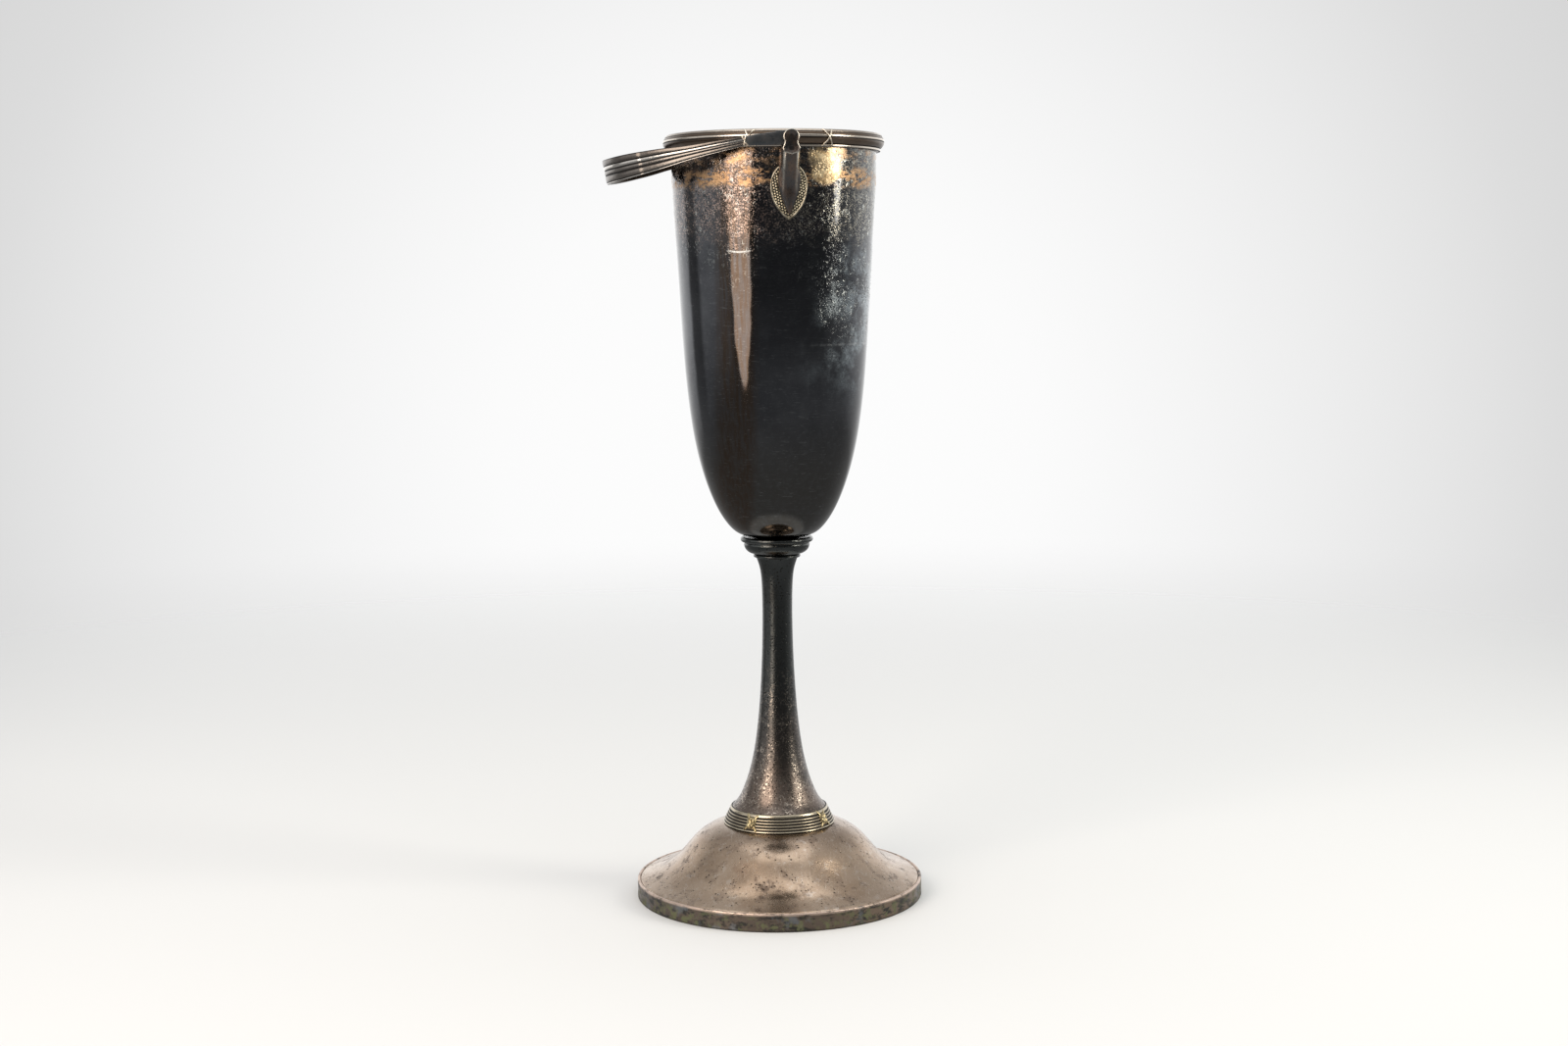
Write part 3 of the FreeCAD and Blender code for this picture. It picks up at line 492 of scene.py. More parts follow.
make_piece("foot_ribbons", knots[0], knots[1], "cup", ["foot_ribbon_ties"], "ribbon_gold")


# %% [markdown]
# ## The foot
#
# The foot is spun sheet: a rounded shoulder that turns into a hollow flare, then a small roll to an upright
# edge. A separate band was soldered round that edge; its lip is a little proud of the sheet and shows as a
# thin light line. The band's face is hollow by a quarter of a millimetre half way up.

# %% Foot dome and edge band
dome_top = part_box("foot_dome")[1][2] / MM
band_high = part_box("foot_edge_band")[1]
foot_radius, band_top = band_high[0] / MM, band_high[2] / MM
BAND_WALL = 2.8
inside = foot_radius - BAND_WALL
DOME_WALL = 1.4
dome_line = through([
    (inside - 2.2, 18.8), (128, 23.4), (116, 29.3), (105.5, 37.6), (96, 48.0), (86.5, 58.8), (76, 66.8),
    (65.5, 71.9), (57.5, dome_top - 0.6), (48, dome_top - TOUCH),
], 110)
dome_outer = np.concatenate([[(inside, 1.0), (inside, 10.0), (inside, 16.8), (inside - 0.6, 18.0)], dome_line,
                             [(30, dome_top), (bore, dome_top)]])
turned("dome", sheet_wall(dome_outer, DOME_WALL), "cup", ["foot_dome"], "worn_dome")

lip = BAND_WALL / 2
band_section = np.concatenate([
    [(inside, 0.0), (foot_radius - 0.5, 0.0), (foot_radius, 0.5), (foot_radius - 0.25, 6),
     (foot_radius, 12.5)],
    arc((foot_radius - lip - 0.05, band_top - lip), lip, 0, 180, 16),
])
turned("edge_band", band_section, "cup", ["foot_edge_band"], "edge_verdigris")


# %% [markdown]
# ## The escutcheons
#
# Under each lug lies a leaf-shaped plate with a stippled ground and a raised bead round its edge. Its
# surface is worked out on rings that shrink from the leaf's outline to its middle: each point lies on the
# bowl, raised by a height that depends on its ring, high on the bead and low on the ground. The ground was
# matted with a punch, so it also carries a field of small dimples, which is three sets of waves laid over
# one another at 60 degrees.

# %% Escutcheons
plate_low, plate_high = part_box("front_escutcheon")
tip, plate_half, plate_top = plate_low[2] / MM, plate_high[0] / MM, plate_high[2] / MM
LEAF_WIDEST, LEAF_CROWN, CROWN_HALF = 34.2, 52.1, 10.0
LOWER_RADIUS, UPPER_RADIUS = 41.1, 23.4
DIMPLE_PITCH, DIMPLE_RISE, GROUND_RISE = 2.3, 0.26, 0.95


def bulge(start, end, radius, count):
    """Points on the arc from start to end that swells to the right of the way travelled."""
    start, end = np.asarray(start, float), np.asarray(end, float)
    chord = end - start
    half = np.linalg.norm(chord) / 2
    left = np.array([-chord[1], chord[0]]) / (2 * half)
    centre = (start + end) / 2 + left * math.sqrt(radius**2 - half**2)
    first = math.atan2(*(start - centre)[::-1])
    turn = 2 * math.asin(half / radius)
    a = first + np.linspace(0, turn, count)
    return centre + radius * np.stack([np.cos(a), np.sin(a)], axis=1)


def leaf_outline():
    """The leaf in (x, z): an arc on each side from the tip to the widest height, a tighter one above, a low
    peak."""
    widest = (plate_half, tip + LEAF_WIDEST)
    crown = (CROWN_HALF, tip + LEAF_CROWN)
    lower = bulge((0, tip), widest, LOWER_RADIUS, 150)
    upper = bulge(widest, crown, UPPER_RADIUS, 70)
    peak = np.linspace(crown, (0, plate_top), 26)
    right = np.concatenate([lower, upper[1:], peak[1:]])
    return np.concatenate([right, right[-2:0:-1] * (-1, 1)])


def on_bowl(x, z, rise):
    """The point of the bowl's -Y side at (x, z), lifted by `rise` away from the axis."""
    r = bowl_radius_at(z) + rise
    return np.stack(np.broadcast_arrays(x, -np.sqrt(np.clip(r**2 - x**2, 0, None)), z), axis=-1)


def both_sides(part):
    """A -Y side shape together with its copy turned half round the axis, as (points, faces) for front and
    rear."""
    return part, (turn_about_z(part[0], math.pi), part[1])


def closed_rings(rings, middle_point):
    """Faces for nested rings that end in one middle point; the first ring is closed by a flat back face."""
    count = len(rings[0])
    points = np.concatenate([*rings, [middle_point]])
    j = np.arange(count)
    last = (len(rings) - 1) * count
    fan = np.stack([last + j, last + (j + 1) % count, np.full(count, len(points) - 1)], axis=1)
    return points, [grid_faces(len(rings), count, False, True), fan, j[None, ::-1]]


def punched(x, z):
    """Dimples from -0.5 (deep) to 1: the mean of three waves one pitch long whose directions are 60 degrees
    apart."""
    turns = 2 * math.pi / DIMPLE_PITCH
    waves = [np.cos(turns * (x * math.cos(a) + z * math.sin(a))) for a in np.radians([10, 70, 130])]
    return sum(waves) / 3


leaf = leaf_outline()
leaf_middle = np.array([0, tip + LEAF_WIDEST - 4])
LEAF_EDGE = [(1.0, -0.6), (1.0, 0.7), (0.985, 1.35), (0.96, 1.75), (0.935, 1.65), (0.915, 1.25),
             (0.90, GROUND_RISE)]
ground = [(share, GROUND_RISE) for share in np.linspace(0.885, 0.12, 58)]
leaf_rings, bead_value, punch_value = [], [], []
for share, rise in LEAF_EDGE + ground:
    flat = leaf_middle + (leaf - leaf_middle) * share
    dimples = punched(flat[:, 0], flat[:, 1]) * (share < 0.89)
    leaf_rings.append(on_bowl(flat[:, 0], flat[:, 1], rise + DIMPLE_RISE * dimples) * MM)
    bead_value.append(np.full(len(leaf), 1.0 if 0.91 < share < 1.0 else 0.0))
    punch_value.append(dimples)
leaf_part = closed_rings(leaf_rings, on_bowl(0.0, leaf_middle[1], GROUND_RISE) * MM)
leaf_values = {"bead": np.append(np.concatenate(bead_value), 0),
               "punch": np.append(np.concatenate(punch_value), 0)}
for part, where in zip(both_sides(leaf_part), ("front", "rear")):
    make_piece(f"{where}_leaf", part[0], part[1], "cup", [f"{where}_escutcheon"], "escutcheon_gilt",
               leaf_values, crease=75)


# %% [markdown]
# ## The hinge arms
#
# Each arm is one casting. Its tongue lies on the escutcheon as a plain pointed leaf, swells outwards into a
# pair of round shoulders under the rim, and ends in a flat round head that carries the pin. Tongue and
# shoulders are drawn as level slices: a slice is a superellipse whose half width and reach change with
# height. The head is a flat outline with a turned edge.

# %% Hinge arms
arm_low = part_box("front_hinge_arm")[0]
head_front = -arm_low[1] / MM
HEAD_RADIUS = 7.8
HEAD_BACK = head_front - 5.1
head_height = hinge[2] / MM
PLEAT_AT, PLEAT_WIDTH, PLEAT_RISE = 6.3, 1.2, 1.0
HOLLOW_WIDTH, HOLLOW_DEPTH = 3.2, 0.7
PLEAT_HEIGHT, PLEAT_REACH = 731, 17

ARM_SLICES = [
    # height from the arm's tip, half width, reach from the axis, squareness of the slice
    (0.0, 0.3, 103.2, 2.0), (3.0, 2.4, 104.2, 2.1), (9.3, 5.3, 105.3, 2.3), (18.0, 8.6, 106.3, 2.5),
    (26.0, 10.8, 107.3, 2.6), (32.6, 11.5, 108.8, 2.8), (39.5, 10.9, 111.6, 2.8), (46.0, 10.0, 115.4, 2.6),
    (52.0, 10.0, 118.4, 2.6), (57.5, 10.2, 120.0, 2.7), (61.0, 10.1, head_front, 2.9),
    (63.8, 9.2, head_front, 3.0), (65.3, 7.9, head_front - 0.2, 3.0), (65.9, 6.6, head_front - 0.6, 3.0),
]


def arm_body():
    """Level slices of the arm: x = w |cos a|^(2/n), reach = back + (f - back) |sin a|^(2/n), for a in a
    half turn.

    w, f and n follow the slices' table by smooth interpolation. A soft pleat is raised on each side where
    the tongue leaves the shoulders, and a hollow is sunk between the two."""
    table = np.array(ARM_SLICES)
    heights = np.concatenate([table[:1, 0], np.linspace(0.4, table[-2, 0], 70), table[-1:, 0]])
    columns = [through(table[:, (0, k)], 400) for k in (1, 2, 3)]
    w, f, n = (np.interp(heights, c[:, 0], c[:, 1]) for c in columns)
    z = heights + arm_low[2] / MM
    a = np.linspace(0, math.pi, 61)
    c, s = np.cos(a)[None], np.sin(a)[None]
    back = bowl_radius_at(z)[:, None] - 1.0
    x = w[:, None] * np.sign(c) * np.abs(c) ** (2 / n[:, None])
    d = back + (f[:, None] - back) * np.abs(s) ** (2 / n[:, None])
    window = np.exp(-(((z - PLEAT_HEIGHT) / PLEAT_REACH) ** 4))[:, None]
    d += PLEAT_RISE * window * np.exp(-(((np.abs(x) - PLEAT_AT) / PLEAT_WIDTH) ** 2))
    d -= HOLLOW_DEPTH * window * np.exp(-((x / HOLLOW_WIDTH) ** 2))
    count = x.shape[1]
    points = np.stack([x, -d, np.repeat(z[:, None], count, axis=1)], axis=-1).reshape(-1, 3) * MM
    ends = [np.arange(count)[None], np.arange(count)[None, ::-1] + (len(z) - 1) * count]
    return points, [grid_faces(len(z), count, False, True), *ends]


def head_outline():
    """The head's outline in (x, z): a circle on the hinge axis whose lower part runs into a neck that
    flares."""
    round_part = arc((0, head_height), HEAD_RADIUS, -32, 212, 120)
    right = [(7.5, 751.0), (8.6, 755.2), (7.6, 757.2), (6.75, 759.4)]
    left = [(-x, z) for x, z in right[::-1]]
    return np.concatenate([round_part, left, [(0, 748.6)], right])


def inset(outline, amount):
    """An anticlockwise outline moved inwards along its normals."""
    tangent = np.roll(outline, -1, axis=0) - np.roll(outline, 1, axis=0)
    tangent /= np.linalg.norm(tangent, axis=1)[:, None]
    return outline + amount * np.stack([-tangent[:, 1], tangent[:, 0]], axis=1)


def arm_head():
    """The flat head: its outline at a few depths, set in a little more at each step towards the front
    face."""
    steps = [(0.35, HEAD_BACK), (0.0, HEAD_BACK + 0.4), (0.0, head_front - 0.75), (0.25, head_front - 0.2),
             (0.75, head_front + 0.08), (1.15, head_front + 0.02), (1.35, head_front - 0.12)]
    rings = []
    for amount, depth in steps:
        flat = inset(head_outline(), amount)
        rings.append(np.stack([flat[:, 0], np.full(len(flat), -depth), flat[:, 1]], axis=1) * MM)
    centre = np.array([0, -(head_front - 0.12), head_height - 3]) * MM
    return closed_rings(rings, centre)


def arm_glints(body_points, head_points):
    """Where the arm gets painted glints, 0 to 1: the crest each side of its middle, and the head's turned edge.

    The crest is brightest on the shoulders and about half as bright on the pleats below them."""
    x, depth, z = (body_points / MM).T
    up_the_crest = np.exp(-(((z - 745) / 9) ** 4)) + 0.45 * np.exp(-(((z - 727) / 12) ** 4))
    outside = -depth > bowl_radius_at(z) + 3
    on_crest = up_the_crest * np.exp(-((np.abs(x) - 6.4) ** 2)) * outside
    ring_share = [0, 0, 0.3, 1, 1, 0.4, 0]
    on_edge = np.repeat(ring_share, (len(head_points) - 1) // len(ring_share))
    return np.concatenate([on_crest, on_edge, [0]])


body_part, head_part = arm_body(), arm_head()
arm_part = merged([body_part, head_part])
arm_values = {"sheen_and_wear": arm_glints(body_part[0], head_part[0])}
for part, where in zip(both_sides(arm_part), ("front", "rear")):
    make_piece(f"{where}_arm", part[0], part[1], "cup", [f"{where}_hinge_arm"], "arm_dark", arm_values,
               crease=45)


# %% [markdown]
# ## The bail
#
# The handle is a strap bent into an arch: a wide arc on each side and a tighter one at the apex, with their
# centres on one line so that they meet smoothly. It is narrow at the end pieces and swells towards the
# apex, where the hand takes it. Its outer face carries, from the bottom, a bright edge, a broad reed, a
# middle reed between two dark gaps, a bright bead and another broad reed. The whole strap lies in a plane
# that drops a little from the hinge, so it is drawn flat first and then turned about the hinge axis.

# %% Bail strap
BAIL_HALF, BAIL_REACH, STRAP = 112.0, 169.0, 3.0
SIDE_RADIUS, APEX_RADIUS = 217.0, 80.0
BAIL_LIFT, END_LENGTH, JOINT_HALF, APEX_HALF = 4.75, 43.0, 4.45, 11.9
BAIL_DROP = math.radians(11.0)
STRAP_WIDTHS = [(END_LENGTH, JOINT_HALF), (63, 5.3), (82, 6.1), (101, 7.3), (116, 9.0), (136, 10.6),
                (156, 11.7), (BAIL_REACH + STRAP, APEX_HALF)]
side_centre = SIDE_RADIUS - BAIL_HALF
apex_centre = BAIL_REACH - APEX_RADIUS
meeting = math.atan2(apex_centre, side_centre)


def bail_line(a):
    """The middle line of the strap for the heading a of its outward normal (-sin a, -cos a), in the bail's
    plane.

    The centre is (0, +side) before the meeting heading, (-apex, 0) up to its mirror image, (0, -side) after
    it."""
    near, far = a < meeting, a > math.pi - meeting
    side = near | far
    normal = np.stack([-np.sin(a), -np.cos(a), np.zeros_like(a)], axis=1)
    centre = np.zeros_like(normal)
    centre[:, 0] = np.where(side, 0, -apex_centre)
    centre[:, 1] = np.where(near, side_centre, np.where(far, -side_centre, 0))
    radius = np.where(side, SIDE_RADIUS, APEX_RADIUS) + STRAP / 2
    return centre + normal * radius[:, None], normal


def into_place(points):
    """Drops points of the bail's plane about the hinge axis and moves them there; the result is in metres."""
    c, s = math.cos(BAIL_DROP), math.sin(BAIL_DROP)
    x, z = points[:, 0] * c - points[:, 2] * s, points[:, 0] * s + points[:, 2] * c
    return np.stack([x, points[:, 1], z], axis=1) * MM + hinge


# each step: x, y, swell, and the reed's painted highlight, brightest on the bottom edge and the bead
STRAP_STEPS = [(-1.0, 0.0, 0.30, 0.9), (-0.90, 0.0, 0.95, 0.30), (-0.33, 0.0, 0, 0), (-0.27, 0.0, 0.65, 0.35),
               (0.06, 0.0, 0, 0), (0.13, 0.05, 0.70, 1.0), (0.46, 0.05, 0.85, 0.25), (1.0, 0.0, 0, 0)]


def strap_section():
    """The strap's section for a half width of 1: reeds over the outer face and a flat, round-cornered
    back."""
    steps = [(x * APEX_HALF, y, -swell, sheen_and_wear) for x, y, swell, sheen_and_wear in STRAP_STEPS]
    face, groove, shine = reeded(steps, (0, 0), 13)
    face = face / (APEX_HALF, 1) + (0, 0.75)
    corner = [(1.0, 0.2), (0.985, -0.9), (0.95, -1.4), (0.9, -1.5)]
    back = np.array([*corner, (0.0, -1.5), *[(-x, y) for x, y in corner[::-1]]])
    plain = np.full(len(back), BACK_SHINE)
    return np.concatenate([face, back]), np.append(groove, plain), np.append(shine, plain)


begin = math.asin(END_LENGTH / (SIDE_RADIUS + STRAP / 2))
headings = np.concatenate([
    np.linspace(begin, meeting, 50, endpoint=False),
    np.linspace(meeting, math.pi - meeting, 110, endpoint=False),
    np.linspace(math.pi - meeting, math.pi - begin, 51),
])
line, normal = bail_line(headings)
widths = through(STRAP_WIDTHS, 200)
half_width = np.interp(-line[:, 0], widths[:, 0], widths[:, 1])
section, strap_groove, strap_shine = strap_section()
depth_share = (0.55 + 0.45 * half_width / APEX_HALF)[:, None]
sections = np.stack([section[None, :, 0] * half_width[:, None], section[None, :, 1] * depth_share], axis=-1)
up = np.tile([0.0, 0.0, 1.0], (len(line), 1))
strap_points, strap_faces = carried(line + up * BAIL_LIFT, up, normal, sections)
strap_values = {"groove": np.tile(strap_groove, len(line)), "shine": np.tile(strap_shine, len(line))}
make_piece("reeded_strap", into_place(strap_points), strap_faces, "bail", ["bail_strap"], "bail_silver",
           strap_values, crease=50)


# %% [markdown]
# ## The bail's ends and their ribbons
#
# The plain end pieces have their true shape in the frame already, eye and all, but with knife-sharp edges.
# A copy of each is merged into one skin, and a small bevel rounds its edges, as filing and years of
# polishing did. A pair of thin ribbons is wound round each joint: each is a closed loop round the strap
# that leans one way in front and the other way behind, so the two cross on the face.

# %% Bail ends and ribbons
import bmesh


def softened(node, name, body, slot, width):
    """A merged copy of a frame node with its flat faces joined and its edges bevelled."""
    shape = bmesh.new()
    shape.from_mesh(frame["nodes"][node].data)
    bmesh.ops.remove_doubles(shape, verts=shape.verts, dist=1e-6)
    bmesh.ops.dissolve_limit(shape, angle_limit=math.radians(1.5), verts=shape.verts, edges=shape.edges)
    mesh = bpy.data.meshes.new(name)
    shape.to_mesh(mesh)
    shape.free()
    mesh.polygons.foreach_set("use_smooth", np.ones(len(mesh.polygons), dtype=bool))
    piece = bpy.data.objects.new(name, mesh)
    bpy.context.scene.collection.objects.link(piece)
    bevel = piece.modifiers.new("filed edges", "BEVEL")
    bevel.width = width * MM
    bevel.segments = 3
    bevel.limit_method = "ANGLE"
    bevel.angle_limit = math.radians(40)
    bevel.harden_normals = True
    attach(piece, body)
    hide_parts(node)
    dressed.append((piece, slot))
    print(f"{name}: bevelled copy of {node}")


FILED_EDGE = 0.45
for where in ("front", "rear"):
    softened(f"bail_end_{where}", f"{where}_bail_end", "bail", "bail_dark", FILED_EDGE)


def wound_ribbon(sway):
    """A loop round the strap at its joint: a rounded rectangle that leans along the strap.

    At the turn t it lies at half x |cos t|^0.35 across and thick x |sin t|^0.5 out, each with its sign. It
    is shifted along the strap by sway x its share of the half width, one way in front and the other way
    behind."""
    t = np.linspace(0, 2 * math.pi, 97)[:-1]
    half, thick = JOINT_HALF + 0.55, STRAP / 2 + 0.45
    c, s = np.cos(t), np.sin(t)
    across = half * np.sign(c) * np.abs(c) ** 0.35
    out = thick * np.sign(s) * np.abs(s) ** 0.5
    heading = begin + sway * across / half * np.sign(s) / (SIDE_RADIUS + STRAP / 2)
    base, normal = bail_line(heading)
    centres = base + normal * out[:, None]
    centres[:, 2] = across + BAIL_LIFT
    forward = np.gradient(np.concatenate([centres[-1:], centres, centres[:1]]), axis=0)[1:-1]
    forward /= np.linalg.norm(forward, axis=1)[:, None]
    lift = normal * s[:, None]
    lift[:, 2] = c
    side = np.cross(forward, lift)
    side /= np.linalg.norm(side, axis=1)[:, None]
    lift = np.cross(side, forward)
    ring = bar_section(0.75, 0.42, 10)
    points = centres[:, None] + side[:, None] * ring[None, :, 0:1] + lift[:, None] * ring[None, :, 1:2]
    return points.reshape(-1, 3), [grid_faces(len(t), len(ring), True, True)]


front_loops = merged([wound_ribbon(1.9), wound_ribbon(-1.9)])
mirror = np.array([1.0, -1.0, 1.0])
for where, side in (("front", 1), ("rear", -1)):
    points = front_loops[0] * (mirror if side < 0 else 1)
    make_piece(f"{where}_bail_ribbon", into_place(points), front_loops[1], "bail", [f"bail_tie_{where}"],
               "ribbon_bright")


# %% [markdown]
# ## Tools: a finish as a recipe
#
# Old plate is never one colour. Silver goes brown and then blue-black as its tarnish thickens, the brass
# below shows where hands have rubbed it, and dirt stays in the hollows. Some recipes also paint shade into
# hollows and highlights onto crests. Each finish is therefore a short recipe of nodes: some patterns measured
# in metres on the piece itself, and one Principled shader at the end. The class below gives the nodes short
# names, so that a recipe can be read from top to bottom.

# %% Finish recipes
class Finish:
    """One material: every method adds a node and returns its output socket."""

    def __init__(self, name):
        self.material = bpy.data.materials.new(name)
        self.material.use_nodes = True
        self.tree = self.material.node_tree
        self.shader = self.tree.nodes["Principled BSDF"]
        self.place = self.add("ShaderNodeTexCoord").outputs["Object"]
        axes = self.add("ShaderNodeSeparateXYZ", {"Vector": self.place})
        self.x, self.y, self.z = axes.outputs

    def add(self, kind, inputs=None, **settings):
        node = self.tree.nodes.new(kind)
        for key, value in settings.items():
            setattr(node, key, value)
        for key, value in (inputs or {}).items():
            self.feed(node.inputs[key], value)
        return node

    def feed(self, socket, value):
        """Links an output to the socket, or sets the socket's own value."""
        if isinstance(value, bpy.types.NodeSocket):
            self.tree.links.new(value, socket)
        elif socket.type == "RGBA" and len(value) == 3:
            socket.default_value = (*value, 1)
        else:
            socket.default_value = value

    def value(self, name):
        """A number that the mesh holds at each point, such as the groove value of a reed."""
        return self.add("ShaderNodeAttribute", attribute_name=name).outputs["Fac"]

    def cloud(self, size, detail=5, rough=0.55, stretch=(1, 1, 1), shift=0.0, twist=0.0):
        """Soft noise from 0 to 1 whose main lumps are about `size` metres across; stretch > 1 shortens an
        axis."""
        place = self.add("ShaderNodeMapping", {"Vector": self.place, "Location": (shift, -shift, shift),
                                               "Scale": stretch}).outputs[0]
        return self.add("ShaderNodeTexNoise", {"Vector": place, "Scale": 1 / size, "Detail": detail,
                                               "Roughness": rough, "Distortion": twist}).outputs["Fac"]

    def specks(self, size, shift=0.0, stretch=(1, 1, 1)):
        """Distance to scattered points about `size` metres apart, in cell widths: 0 at a point."""
        place = self.add("ShaderNodeMapping", {"Vector": self.place, "Location": (shift, shift, -shift),
                                               "Scale": stretch}).outputs[0]
        return self.add("ShaderNodeTexVoronoi", {"Vector": place, "Scale": 1 / size}).outputs[0]

    def math(self, operation, a, b=0.0):
        return self.add("ShaderNodeMath", {0: a, 1: b}, operation=operation, use_clamp=False).outputs[0]

    def times(self, *shares):
        product = shares[0]
        for share in shares[1:]:
            product = self.math("MULTIPLY", product, share)
        return product

    def larger(self, *shares):
        top = shares[0]
        for share in shares[1:]:
            top = self.math("MAXIMUM", top, share)
        return top

    def rise(self, value, low, high):
        """0 below `low`, 1 above `high`, and a smooth step between them; low above high falls instead."""
        return self.add("ShaderNodeMapRange", {"Value": value, "From Min": low, "From Max": high},
                        interpolation_type="SMOOTHSTEP").outputs["Result"]

    def band(self, value, low, high, soft):
        """1 between low and high, 0 outside, with soft edges."""
        below = self.rise(value, high + soft, high - soft)
        return self.times(self.rise(value, low - soft, low + soft), below)

    def mix(self, share, a, b):
        """Colour a where share is 0 and colour b where it is 1."""
        node = self.add("ShaderNodeMix", data_type="RGBA")
        self.feed(node.inputs[0], share)
        self.feed(node.inputs[6], a)
        self.feed(node.inputs[7], b)
        return node.outputs[2]

    def level(self, share, a, b):
        """Number a where share is 0 and number b where it is 1."""
        node = self.add("ShaderNodeMix", data_type="FLOAT")
        for index, value in ((0, share), (2, a), (3, b)):
            self.feed(node.inputs[index], value)
        return node.outputs[0]

    def bump(self, height, depth, strength=1.0, under=None):
        """Shades the surface as if it rose by depth metres where height is 1."""
        inputs = {"Height": height, "Distance": depth, "Strength": strength}
        if under is not None:
            inputs["Normal"] = under
        return self.add("ShaderNodeBump", inputs).outputs[0]

    def done(self, colour, rough, metal, normal=None, **more):
        """Feeds the shader and returns the material."""
        for key, value in {"Base Color": colour, "Roughness": rough, "Metallic": metal, **more}.items():
            self.feed(self.shader.inputs[key], value)
        if normal is not None:
            self.feed(self.shader.inputs["Normal"], normal)
        return self.material


# %% [markdown]
# ## The bowl's tarnish
#
# Thick sulphide tarnish on silver is a smooth, dark, neutral film, and it mirrors the room like black
# glass. The film is cloudy, it is eaten into pits on one side and high up, and under the rim it has been
# rubbed through to the brass in ragged strings and one broad patch. The recipe lays these on one after another: film,
# brown streaks painted where the left window reflects to warm that reflection, haze, pits, dust, worn brass,
# scratches, and last the lining inside.

